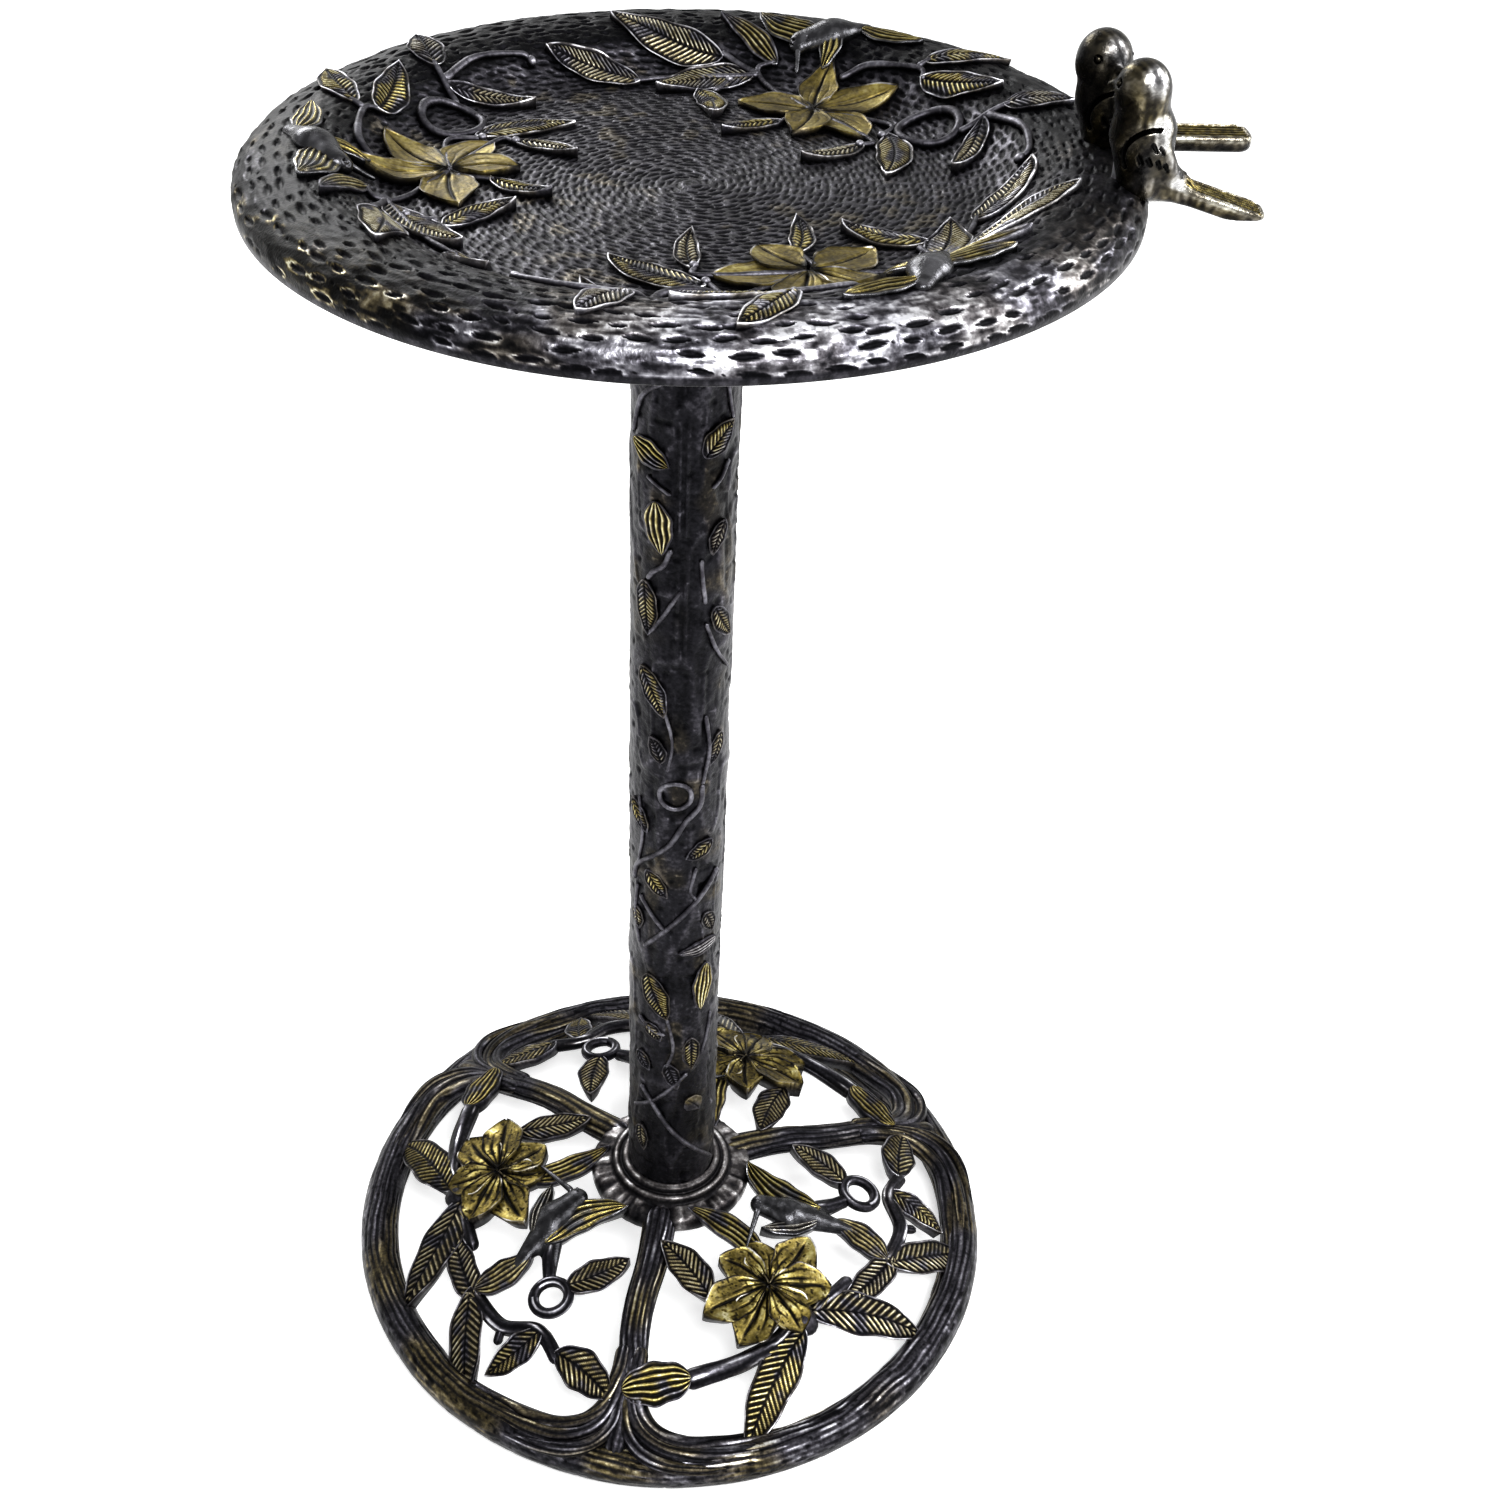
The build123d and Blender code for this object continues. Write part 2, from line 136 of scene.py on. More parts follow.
def lens(along, across, half_length, half_width):
    """A pit with pointed ends: 1 in the middle, 0 outside."""
    taper = np.maximum(1 - (along / half_length) ** 2, 0.02)
    return 1 - step_up(np.abs(across) / (half_width * taper), 0.45, 1.15)


def pits(r, theta, row_pitch, pitch, length, width, seed, slant):
    """Oval pits in rows round the axis, 1 at the middle of a pit and 0 between pits."""
    jitter = 0.3
    row = np.floor(r / row_pitch).astype(np.int64)
    middle = (row + 0.5) * row_pitch
    count = np.maximum(np.round(TAU * middle / pitch), 3)
    turn = theta / TAU * count + scatter(row, row * 0, seed) * count
    column = np.floor(turn).astype(np.int64)
    wrapped = column % count.astype(np.int64)
    along = (turn - column - 0.5 + (scatter(wrapped, row, seed + 1) - 0.5) * jitter) * pitch
    across = r - middle + (scatter(wrapped, row, seed + 2) - 0.5) * jitter * row_pitch
    across = across - along * (slant + (scatter(wrapped, row, seed + 3) - 0.5) * 0.3)
    size = 0.65 + 0.6 * scatter(wrapped, row, seed + 4)
    return lens(along, across, length / 2 * size, width / 2 * (0.75 + 0.35 * size))


# Lines and points round an axis


def once_round(count):
    """This many angles, evenly round the axis."""
    return np.arange(count) / count * TAU


def polar(radius, angle, z):
    return np.stack([radius * np.cos(angle), radius * np.sin(angle), z], -1)


def oval(centre, radius_x, radius_y, count=120):
    """A closed flat line round a centre."""
    angle = once_round(count)
    return np.stack([centre[0] + radius_x * np.cos(angle), centre[1] + radius_y * np.sin(angle)], -1)


# Charts: flat ornament coordinates and a height, to points


def bowl_z(r):
    """Height of the bowl's surface at a radius."""
    half = (CREST_R - FLOOR_R) / 2
    drop = (CREST_Z - FLOOR_Z) / 2
    bend = (half * half + drop * drop) / (2 * drop)
    low = FLOOR_Z + bend - np.sqrt(bend**2 - np.clip(r - FLOOR_R, 0, half) ** 2)
    high = CREST_Z - bend + np.sqrt(bend**2 - np.clip(CREST_R - r, 0, half) ** 2)
    lip = EDGE_Z + (CREST_Z - EDGE_Z) * np.sqrt(1 - np.clip((r - CREST_R) / (RIM - CREST_R), 0, 0.995) ** 2)
    return np.where(r < FLOOR_R + half, low, np.where(r < CREST_R, high, lip))


def on_bowl(x, y, h):
    r = np.hypot(x, y)
    slope = (bowl_z(r + 0.5) - bowl_z(r - 0.5)) / 1.0
    long = np.sqrt(1 + slope**2)
    out = -slope / long * h / np.maximum(r, 1)
    return np.stack([x * (1 + out), y * (1 + out), bowl_z(r) + h / long], -1)


def on_dome(x, y, h):
    r = np.minimum(np.hypot(x, y), DOME_R * 0.985)
    z = DOME_H * np.sqrt(1 - (r / DOME_R) ** 2)
    n = np.stack([x / DOME_R**2, y / DOME_R**2, z / DOME_H**2], -1)
    n = n / np.linalg.norm(n, axis=-1, keepdims=True)
    return np.stack([x, y, z], -1) + n * h[..., None]


def on_column(x, y, h):
    return polar(COLUMN_R + h, x / COLUMN_R, y)


def flat(x, y, h):
    return np.stack([x, y, h], -1)


# Meshes


class Shell:
    """Collects closed surfaces in millimetres, with how worn and how gilt each point is; the wear also
    carries painted highlights and painted shade.
    """

    def __init__(self):
        self.points, self.wear, self.gilt, self.faces, self.count = [], [], [], [], 0

    def put(self, points, wear, gilt, faces):
        points = np.asarray(points, float).reshape(-1, 3)
        self.points.append(points)
        self.wear.append(np.broadcast_to(np.asarray(wear, float).ravel(), len(points)))
        self.gilt.append(np.broadcast_to(np.asarray(gilt, float).ravel(), len(points)))
        self.faces += [(f + self.count) for f in faces if len(f)]
        self.count += len(points)

    def tube(self, points, wear, gilt, loop=False):
        """Rows of closed rings. The ends are closed with fans, or the last row joins the first."""
        rows, sides = points.shape[:2]
        i = np.arange(rows if loop else rows - 1)[:, None]
        j = np.arange(sides)[None, :]
        k, n = (j + 1) % sides, (i + 1) % rows
        quads = np.stack([i * sides + j, i * sides + k, n * sides + k, n * sides + j], -1).reshape(-1, 4)
        faces = [quads]
        wear, gilt = np.broadcast_to(wear, (rows, sides)), np.broadcast_to(gilt, (rows, sides))
        points, wear, gilt = points.reshape(-1, 3), wear.ravel(), gilt.ravel()
        if not loop:
            first, last = points[:sides].mean(0), points[-sides:].mean(0)
            wear = np.r_[wear, wear[:sides].mean(), wear[-sides:].mean()]
            gilt = np.r_[gilt, gilt[:sides].mean(), gilt[-sides:].mean()]
            points = np.vstack([points, first, last])
            j, k = j.ravel(), k.ravel()
            total = rows * sides
            faces.append(np.stack([k, j, j * 0 + total], -1))
            faces.append(np.stack([j + total - sides, k + total - sides, j * 0 + total + 1], -1))
        self.put(points, wear, gilt, faces)

    def turned(self, angle, painted_shade=0.0, silver_glint=0.0):
        """A copy turned round the axis by degrees, darkened with painted shade or given a painted silver
        highlight on its outer edges if asked.
        """
        c, s = math.cos(math.radians(angle)), math.sin(math.radians(angle))
        turn = np.array([[c, s, 0], [-s, c, 0], [0, 0, 1]])
        copy = Shell()
        copy.points = [p @ turn for p in self.points]
        for p, wear, gilt in zip(self.points, self.wear, self.gilt):
            # Painted shade darkens the whole copy, and a painted silver highlight lifts its outer edges where
            # they are not gilt
            edge = step_up(np.hypot(p[:, 0], p[:, 1]), 145, 165) * step_up(0.3 - gilt, 0, 0.2)
            copy.wear.append(wear - painted_shade + silver_glint * edge)
        copy.gilt, copy.faces, copy.count = self.gilt, self.faces, self.count
        return copy

    def make(self, name, body, nodes, slot):
        """Makes the piece, rides it on its body and lets it stand for its CAD nodes."""
        mesh = bpy.data.meshes.new(name)
        points = np.vstack(self.points) * MM
        mesh.from_pydata(points.tolist(), [], [f for group in self.faces for f in group.tolist()])
        for label, values in (("wear", self.wear), ("gilt", self.gilt)):
            layer = mesh.attributes.new(label, "FLOAT", "POINT")
            layer.data.foreach_set("value", np.clip(np.concatenate(values), 0, 1).astype(np.float32))
        mesh.polygons.foreach_set("use_smooth", np.ones(len(mesh.polygons), bool))
        mesh.validate()
        mesh.update()
        piece = bpy.data.objects.new(name, mesh)
        bpy.context.scene.collection.objects.link(piece)
        mesh.materials.append(MATERIALS[slot])
        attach(piece, body)
        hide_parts(*nodes)


def curve_through(points, step):
    """A smooth line through a few points, sampled evenly."""
    p = np.asarray(points, float)
    if len(p) > 2:
        p = np.vstack([2 * p[0] - p[1], p, 2 * p[-1] - p[-2]])
        t = np.linspace(0, 1, 24, endpoint=False)[:, None]
        spans = []
        for a, b, c, d in zip(p, p[1:], p[2:], p[3:]):
            bent = (2 * a - 5 * b + 4 * c - d) * t**2
            spans.append(0.5 * (2 * b + (c - a) * t + bent + (3 * b - a - 3 * c + d) * t**3))
        p = np.vstack(spans + [p[-2:-1]])
    length = np.r_[0, np.cumsum(np.linalg.norm(np.diff(p, axis=0), axis=1))]
    count = max(int(length[-1] / step), 4) + 1
    even = np.linspace(0, length[-1], count)
    return np.stack([np.interp(even, length, p[:, i]) for i in range(p.shape[1])], -1), length[-1]


def sideways(line, loop=False):
    """Unit vectors across a flat line."""
    if loop:
        run = np.roll(line, -1, 0) - np.roll(line, 1, 0)
    else:
        run = np.gradient(line, axis=0)
    run = run / np.maximum(np.linalg.norm(run, axis=1, keepdims=True), 1e-9)
    return np.stack([-run[:, 1], run[:, 0]], -1)


def sweep(shell, chart, points, radius, skin, height=0.0, squash=1.0, sides=20, step=1.2, loop=False):
    """A round or oval bar along a line in a chart. radius and height may be functions of 0..1, and
    the line's points may have a third number, added to the height."""
    if loop:
        line = np.asarray(points, float)
        length = np.linalg.norm(np.roll(line, -1, 0) - line, axis=1).sum()
    else:
        line, length = curve_through(points, step)
    s = np.linspace(0, 1, len(line), endpoint=not loop)
    r = radius(s) if callable(radius) else np.full(len(s), float(radius))
    h = height(s) if callable(height) else np.full(len(s), float(height))
    if line.shape[1] == 3:
        h, line = h + line[:, 2], line[:, :2]
    if not loop:
        from_end = np.clip(1 - np.minimum(s, 1 - s) * length / np.maximum(r, 0.1), 0, 1)
        r = r * np.sqrt(np.maximum(1 - from_end**2, 0.02))
    phi = np.arange(sides) / sides
    s = s[:, None]
    grow, wear, gilt = skin(s * length + phi * 0, phi[None, :] + s * 0, s + phi * 0)
    r = r[:, None] + grow
    lean = r * np.cos(phi * TAU)
    side = sideways(line, loop)
    x = line[:, 0][:, None] + side[:, 0][:, None] * lean
    y = line[:, 1][:, None] + side[:, 1][:, None] * lean
    z = h[:, None] + r * np.sin(phi * TAU) * squash
    shell.tube(chart(x, y, z), wear, gilt, loop=loop)


def bark(ridges, depth, seed, gold, shine):
    """Skin for a bough: long wandering grooves with worn ridges between them."""

    def skin(along, phi, s):
        def grain(waves, cells, offset):
            """Noise with this many cells round the bough."""
            return noise(along * waves, phi * cells, seed + offset, period_y=cells)

        wander = grain(0.016, 3, 0) + 0.4 * grain(0.05, 6, 1)
        fold = np.abs(np.sin(np.pi * (phi * ridges + 1.5 * wander)))
        fine = grain(0.09, ridges * 3, 2)
        groove = bell(fold, 0.30 + 0.25 * fine)
        crest = step_up(fold, 0.75, 0.98) * step_up(grain(0.07, ridges * 2, 4), 0.4, 0.75)
        grow = -depth * groove - depth * 0.4 * fine * (1 - groove)
        top = step_up(np.sin(phi * TAU), -0.3, 0.6)
        wear = 0.34 - 0.36 * groove + 0.2 * (fine - 0.5) + (0.16 + 0.42 * shine) * crest
        gilt = step_up(grain(0.035, 4, 3), 0.4, 0.75) * gold * (1 - groove)
        return grow, wear * (0.5 + 0.5 * top), gilt

    return skin


def twig(bright, gold=0.0):
    """Skin for a thin smooth stem, worn along its top."""

    def skin(along, phi, s):
        top = step_up(np.sin(phi * TAU), -0.2, 0.95)
        lump = noise(along * 0.25, phi * 2, 5, period_y=2)
        return 0.35 * (lump - 0.5), 0.12 + (bright - 0.12) * top * (0.7 + 0.55 * lump), gold + 0 * phi

    return skin


def blade(shell, chart, base, tip, width, style, height, under=-7.0, bow=0.0, curl=0.0, res=0.8, gold=0.8,
          shine=1.0, seed=0, root=0.0, pitch=3.8, fullness=0.85, sharpness=0.72, fold=0.0, stripes=5,
          streaks=1.0, outline=1.0):
    """A leaf, petal, bud or feather: a closed blade on a chart with its veins modelled in."""
    base, tip = np.asarray(base, float), np.asarray(tip, float)
    length = np.linalg.norm(tip - base)
    s = np.linspace(0, 1, max(int(length / res), 12) + 1)
    ahead = (tip - base) / length
    aside = np.array([-ahead[1], ahead[0]])
    line = base + np.outer(s, tip - base) + np.outer(4 * bow * s * (1 - s), aside)
    side = sideways(line)
    half = width / 2 * np.sin(np.pi * np.clip(s, 0.004, 0.993) ** fullness) ** sharpness
    half = half * (1 + 0.05 * np.sin(s * 17 + seed)) + 0.12
    top = max(int(width / res), 8)
    t = np.r_[np.linspace(-1, 1, top + 1), np.linspace(1, -1, 7)[1:-1]]
    upper = np.r_[np.ones(top + 1, bool), np.zeros(5, bool)]

    # S runs along the blade, T from edge to edge, and H is the half width
    S, T, H = s[:, None] + 0 * t, t[None, :] + 0 * s[:, None], half[:, None] + 0 * t
    along, off = S * length, np.abs(T) * H
    inset = H - off
    speckle = noise(along * 0.55 + seed * 7, T * H * 0.55, seed + 11)
    blot = noise(along * 0.11 + seed * 3, T * H * 0.16 + 5, seed + 12)
    ragged = noise(along * 0.16 + 9 * seed, np.sign(T) * 2, seed + 13)
    rim = bell(inset - 0.5, 0.55) * (0.2 + 1.05 * ragged) * outline
    rib = bell(off, 0.6) * step_up(H, 1.5, 3)
    if style == "vein":
        moat = bell(inset - 1.7, 0.8) * (H > 3.0)
        wave = 0.5 + 0.5 * np.cos(TAU * ((along - off * 0.95) / pitch + 0.15 * np.sin(S * 9)))
        mask = step_up(inset, 1.2, 2.6) * (1 - rib) * step_up(S, 0.02, 0.1)
        ridge = wave**1.3
        lift = height * (1 - 0.3 * T**2) + 1.1 * (ridge - 0.6) * mask + 0.5 * rim - 0.7 * moat - 1.0 * rib
        wear = 0.33 + (0.30 + 0.36 * blot) * ridge * mask - 0.5 * (1 - ridge) * mask
        wear = wear + 0.60 * rim - 0.4 * moat - 0.5 * rib
        gilt = gold * step_up(blot, 0.2, 0.5) * (0.35 + 0.65 * mask) * (1 - np.minimum(rim, 1))
    elif style == "stripe":
        wave = 0.5 + 0.5 * np.cos(TAU * (T * stripes / 2 + 0.08 * np.sin(S * 11 + seed)))
        mask = step_up(inset, 0.8, 1.8)
        ridge = wave**1.1
        lift = height * (1 - 0.35 * T**2) + 1.1 * (ridge - 0.6) * mask + 0.2 * rim
        wear = 0.30 + (0.32 + 0.32 * blot) * ridge * mask - 0.5 * (1 - ridge) * mask + 0.42 * rim
        gilt = gold * mask * step_up(blot, 0.1, 0.4)
    elif style == "petal":
        crease = bell(off + 0.1, 0.9) * step_up(S, 0.03, 0.12) * step_up(0.95 - S, 0, 0.2)
        ray = 0.5 + 0.5 * np.cos(TAU * (T * 2.5 + 0.3 * np.sin(S * 5 + seed)))
        rays = step_up(0.8 - S, 0, 0.4) * ray**6 * step_up(H, 2, 5) * streaks * step_up(blot, 0.15, 0.5)
        arch = 0.45 + 0.55 * np.sin(np.pi * np.clip(S * 0.62 + 0.28, 0, 1))
        lift = height * arch + fold * T**2 + 0.35 * rim - 1.7 * crease - 0.9 * rays + 0.7 * (blot - 0.5)
        wear = 0.60 - 0.66 * crease - 0.6 * rays - 0.28 * bell(inset - 0.2, 0.7)
        wear = wear + 0.42 * rim * step_up(blot, 0.3, 0.6) + 0.42 * (blot - 0.5)
        wear = wear - 0.45 * step_up(0.2 - S, 0, 0.18) - 0.32 * step_up(speckle, 0.66, 0.85) * streaks
        gilt = gold * (1 - step_up(rim, 0.3, 0.7) * 0.9) * (1 - 0.5 * crease)
    else:
        lift = height * (1 - 0.45 * T**2) - 0.5 * rib + 0.35 * rim
        wear = 0.42 + 0.2 * (blot - 0.5) + 0.2 * rim - 0.3 * rib
        gilt = gold * step_up(blot, 0.35, 0.7) * (1 - rim)
    wear = wear + 0.16 * (speckle - 0.5)
    wear = np.where(wear > 0.5, 0.5 + (wear - 0.5) * shine, wear)
    h = np.where(upper, lift + curl * S**3 + root, under)
    wear, gilt = np.where(upper, wear, 0.18), np.where(upper, gilt, 0.0)
    x = line[:, 0][:, None] + side[:, 0][:, None] * T * H
    y = line[:, 1][:, None] + side[:, 1][:, None] * T * H
    shell.tube(chart(x[:, ::-1], y[:, ::-1], h[:, ::-1]), wear[:, ::-1], gilt[:, ::-1])


def leaves(shell, chart, table, seed, **shared):
    """The leaves of a table. ribs is the pitch of a leaf's veins, or how many stripes it has."""
    for number, (base, tip, width, style, height, bow, gold, ribs) in enumerate(table):
        blade(shell, chart, base, tip, width, style, height, bow=bow, gold=gold, pitch=ribs, stripes=ribs,
              seed=seed + number, **shared)


def ball(shell, chart, place, radius, height=0.0, squash=1.0, wear=0.6, gilt=0.0):
    """A small round knob on a chart."""
    lat = np.linspace(0.06, np.pi - 0.06, 11)
    lon = once_round(16)
    ring = radius * np.sin(lat)[:, None]
    x = place[0] + ring * np.cos(lon)
    y = place[1] - ring * np.sin(lon)
    z = height + radius * squash * np.cos(lat)[:, None] + 0 * lon
    top = step_up(np.cos(lat), -0.2, 0.9)[:, None] + 0 * lon
    shell.tube(chart(x, y, z), 0.12 + (wear - 0.12) * top, gilt)


def flower(shell, chart, centre, petals, lift, seed, stamens=0, **petal):
    """Overlapping petals in three layers round a dark eye, with stamens if asked."""
    near, far = 1.5, 8.5

    def at(distance, angle):
        return centre[0] + distance * math.cos(angle), centre[1] + distance * math.sin(angle)

    for number, (angle, length, width) in enumerate(petals):
        a = math.radians(angle)
        blade(shell, chart, at(near, a), at(length, a), width, "petal", bow=3.0 * math.sin(angle * 0.1),
              seed=seed + number, root=(0.0, lift, 0.5 * lift)[number % 3], **petal)
    base = petal["height"] * 0.7 + lift
    for number in range(stamens):
        a = math.radians(36 + 72 * number + 9 * math.sin(seed + number * 3))
        ends = [at(d, a + 0.15 * d / far) for d in (0.5, far / 2, far)]
        sweep(shell, chart, ends, 0.6, height=lambda s: base + 1.2 * np.sin(s * 2.4), sides=8, step=0.8,
              skin=twig(0.5, 0.5))
        ball(shell, chart, ends[-1], 1.0, base + 0.8, wear=0.7, gilt=0.6)


# Blobby forms


def soft_min(a, b, k):
    """Blends two distances over about k."""
    h = np.clip(0.5 + 0.5 * (b - a) / k, 0, 1)
    return b * (1 - h) + a * h - k * h * (1 - h)


def cone(p, a, b, ra, rb, flatten=(1, 1, 1)):
    """Distance to a round bar from a to b whose radius changes evenly."""
    f = np.asarray(flatten, float)
    a, b = np.asarray(a, float), np.asarray(b, float)
    run = (b - a) / f
    q = [(p[i] - a[i]) / f[i] for i in range(3)]
    t = np.clip(sum(q[i] * run[i] for i in range(3)) / max((run**2).sum(), 1e-9), 0, 1)
    d = np.sqrt(sum((q[i] - run[i] * t) ** 2 for i in range(3)))
    return (d - (ra + (rb - ra) * t)) * f.min()


def with_eye(d, p, place, hollow, size):
    """Cuts a round hollow in a form and leaves a ball in it."""
    reach = np.sqrt((p[0] - place[0]) ** 2 + (p[1] - place[1]) ** 2 + (p[2] - place[2]) ** 2)
    return np.minimum(np.maximum(d, hollow - reach), reach - size)


def surface(field, low, high, step):
    """Closed quad mesh of the zero level of a distance field."""
    axes = [np.arange(low[i], high[i] + step, step) for i in range(3)]
    grid = np.meshgrid(*axes, indexing="ij")
    d = field(grid)
    inside = d < 0
    shape = np.array(d.shape) - 1
    total = np.zeros((*shape, 3))
    hits = np.zeros(shape)
    corner = np.indices(shape).astype(float)
    cuts = []
    for axis in range(3):
        others = [i for i in range(3) if i != axis]
        head = [slice(None)] * 3
        tail = [slice(None)] * 3
        head[axis], tail[axis] = slice(0, -1), slice(1, None)
        da, db = d[tuple(head)], d[tuple(tail)]
        cross = inside[tuple(head)] != inside[tuple(tail)]
        t = np.where(cross, da / np.where(cross, da - db, 1), 0)
        cuts.append((cross, inside[tuple(head)], others))
        for u in (0, 1):
            for v in (0, 1):
                part = [slice(None)] * 3
                part[others[0]] = slice(u, u + shape[others[0]])
                part[others[1]] = slice(v, v + shape[others[1]])
                c, tt = cross[tuple(part)], t[tuple(part)]
                hits += c
                total[..., axis] += np.where(c, corner[axis] + tt, 0)
                total[..., others[0]] += np.where(c, corner[others[0]] + u, 0)
                total[..., others[1]] += np.where(c, corner[others[1]] + v, 0)
    used = hits > 0
    number = np.full(shape, -1)
    number[used] = np.arange(used.sum())
    points = total[used] / hits[used][:, None] * step + np.asarray(low, float)
    quads = []
    for axis, (cross, first_in, others) in enumerate(cuts):
        i = np.argwhere(cross)
        ok = np.all(i[:, others] > 0, axis=1) & np.all(i[:, others] < shape[others], axis=1)
        i = i[ok]
        turn = first_in[tuple(i.T)]
        cells = []
        for u, v in ((-1, -1), (0, -1), (0, 0), (-1, 0)):
            j = i.copy()
            j[:, others[0]] += u
            j[:, others[1]] += v
            cells.append(number[tuple(j.T)])
        quad = np.stack(cells, -1)
        if axis == 1:
            turn = ~turn
        quad[~turn] = quad[~turn][:, ::-1]
        quads.append(quad)
    for _ in range(2):
        here = field(points.T)
        slope = np.stack([(field((points + e).T) - field((points - e).T)) / 0.4 for e in np.eye(3) * 0.2], -1)
        move = here[:, None] * slope / np.maximum((slope**2).sum(1, keepdims=True), 0.05)
        points = points - np.clip(move, -step, step)
    return points, np.vstack(quads)


def feathered(shell, chart, field, low, high, step, gloss):
    """Adds a blobby body given in chart coordinates."""
    points, quads = surface(field, low, high, step)
    spot = noise(points[:, 0] * 0.3, points[:, 1] * 0.3 + points[:, 2] * 0.2, 91)
    wear = gloss + 0.25 * (spot - 0.5) + 0.1 * step_up(points[:, 2], 0, 8)
    shell.put(chart(points[:, 0], points[:, 1], points[:, 2]), wear, 0.0, [quads])
# Materials


def ramp(tree, value, stops):
    """Colours, or greys given as one number, along a value."""
    node = tree.nodes.new("ShaderNodeValToRGB")
    while len(node.color_ramp.elements) > 1:
        node.color_ramp.elements.remove(node.color_ramp.elements[-1])
    for number, (place, color) in enumerate(stops):
        point = node.color_ramp.elements[0] if number == 0 else node.color_ramp.elements.new(place)
        point.position = place
        point.color = (*color, 1) if len(color) == 3 else (color[0],) * 3 + (1,)
    tree.links.new(value, node.inputs[0])
    return node.outputs[0]


def maths(tree, kind, *values, clamp=False):
    node = tree.nodes.new("ShaderNodeMath")
    node.operation, node.use_clamp = kind, clamp
    for place, value in enumerate(values):
        if isinstance(value, (int, float)):
            node.inputs[place].default_value = value
        else:
            tree.links.new(value, node.inputs[place])
    return node.outputs[0]


def point_value(tree, name):
    """A value that each point of the mesh carries."""
    node = tree.nodes.new("ShaderNodeAttribute")
    node.attribute_name = name
    return node.outputs["Fac"]


def cloud(tree, scale, detail, stretch=(1, 1, 1)):
    """Noise fixed to the piece."""
    where = tree.nodes.new("ShaderNodeTexCoord")
    shape = tree.nodes.new("ShaderNodeMapping")
    shape.inputs["Scale"].default_value = stretch
    node = tree.nodes.new("ShaderNodeTexNoise")
    node.inputs["Scale"].default_value = scale
    node.inputs["Detail"].default_value = detail
    tree.links.new(where.outputs["Object"], shape.inputs[0])
    tree.links.new(shape.outputs[0], node.inputs["Vector"])
    return node.outputs[0]


def mixed(tree, share, a, b):
    node = tree.nodes.new("ShaderNodeMix")
    node.data_type = "RGBA"
    tree.links.new(share, node.inputs[0])
    tree.links.new(a, node.inputs[6])
    tree.links.new(b, node.inputs[7])
    return node.outputs[2]


def new_material(name):
    material = bpy.data.materials.new(name)
    material.use_nodes = True
    tree = material.node_tree
    return material, tree, tree.nodes["Principled BSDF"]


def bump(tree, shader, height, strength, distance):
    node = tree.nodes.new("ShaderNodeBump")
    node.inputs["Strength"].default_value = strength
    node.inputs["Distance"].default_value = distance
    tree.links.new(height, node.inputs["Height"])
    tree.links.new(node.outputs[0], shader.inputs["Normal"])


def antique(name, greys, golds, rough, grain):
    """Dark patina with metal showing where it is worn and where painted highlights are, darker under painted
    shade, and gold where it is gilt.
    """
    material, tree, shader = new_material(name)
    gilt = point_value(tree, "gilt")
    blotched = maths(tree, "MULTIPLY_ADD", cloud(tree, 45, 3), 0.22, point_value(tree, "wear"))
    grainy = maths(tree, "MULTIPLY", maths(tree, "SUBTRACT", cloud(tree, 420, 4), 0.5), grain)
    worn_and_lit = maths(tree, "ADD", maths(tree, "SUBTRACT", blotched, 0.11), grainy, clamp=True)
    rubbed = maths(tree, "MULTIPLY", maths(tree, "SUBTRACT", cloud(tree, 260, 3), 0.5), 0.7)
    share = maths(tree, "ADD", gilt, maths(tree, "MULTIPLY", rubbed, gilt), clamp=True)
    color = mixed(tree, share, ramp(tree, worn_and_lit, greys), ramp(tree, worn_and_lit, golds))
    tree.links.new(color, shader.inputs["Base Color"])
    shader.inputs["Metallic"].default_value = 0.92
    tree.links.new(ramp(tree, worn_and_lit, [(0, (rough[0],)), (0.8, (rough[1],))]), shader.inputs["Roughness"])
    shader.inputs["Specular IOR Level"].default_value = 0.12
    bump(tree, shader, cloud(tree, 700, 4), 0.5, 0.0005)
    return material


def plain(name, dark, light, metallic, rough, scale, stretch=(1, 1, 1)):
    """One finish with small variation and grain, for hidden hardware."""
    material, tree, shader = new_material(name)
    color = ramp(tree, cloud(tree, scale, 5, stretch), [(0.3, dark), (0.7, light)])
    sheen = ramp(tree, cloud(tree, scale * 0.4, 4), [(0.3, (rough[0],)), (0.7, (rough[1],))])
    tree.links.new(color, shader.inputs["Base Color"])
    tree.links.new(sheen, shader.inputs["Roughness"])
    shader.inputs["Metallic"].default_value = metallic
    bump(tree, shader, cloud(tree, scale * 2, 4, stretch), 0.3, 0.0002)
    return material


# Colours from no wear to full wear, which also run from painted shade to painted highlight
PEWTER_GREYS = [(0.0, (0.0025, 0.0025, 0.0032)), (0.25, (0.010, 0.0097, 0.012)),
                (0.45, (0.038, 0.036, 0.043)), (0.62, (0.12, 0.117, 0.135)), (0.78, (0.34, 0.335, 0.37)),
                (0.95, (0.90, 0.90, 0.96))]
GILT_GOLDS = [(0.0, (0.003, 0.0028, 0.002)), (0.25, (0.018, 0.014, 0.005)), (0.45, (0.085, 0.064, 0.015)),
              (0.62, (0.23, 0.175, 0.042)), (0.8, (0.50, 0.43, 0.14)), (0.96, (0.96, 0.91, 0.56))]
BRONZE_GREYS = [(0.0, (0.002, 0.002, 0.0022)), (0.25, (0.010, 0.010, 0.011)), (0.45, (0.034, 0.034, 0.037)),
                (0.62, (0.13, 0.13, 0.14)), (0.8, (0.45, 0.45, 0.47)), (0.95, (0.95, 0.95, 0.98))]
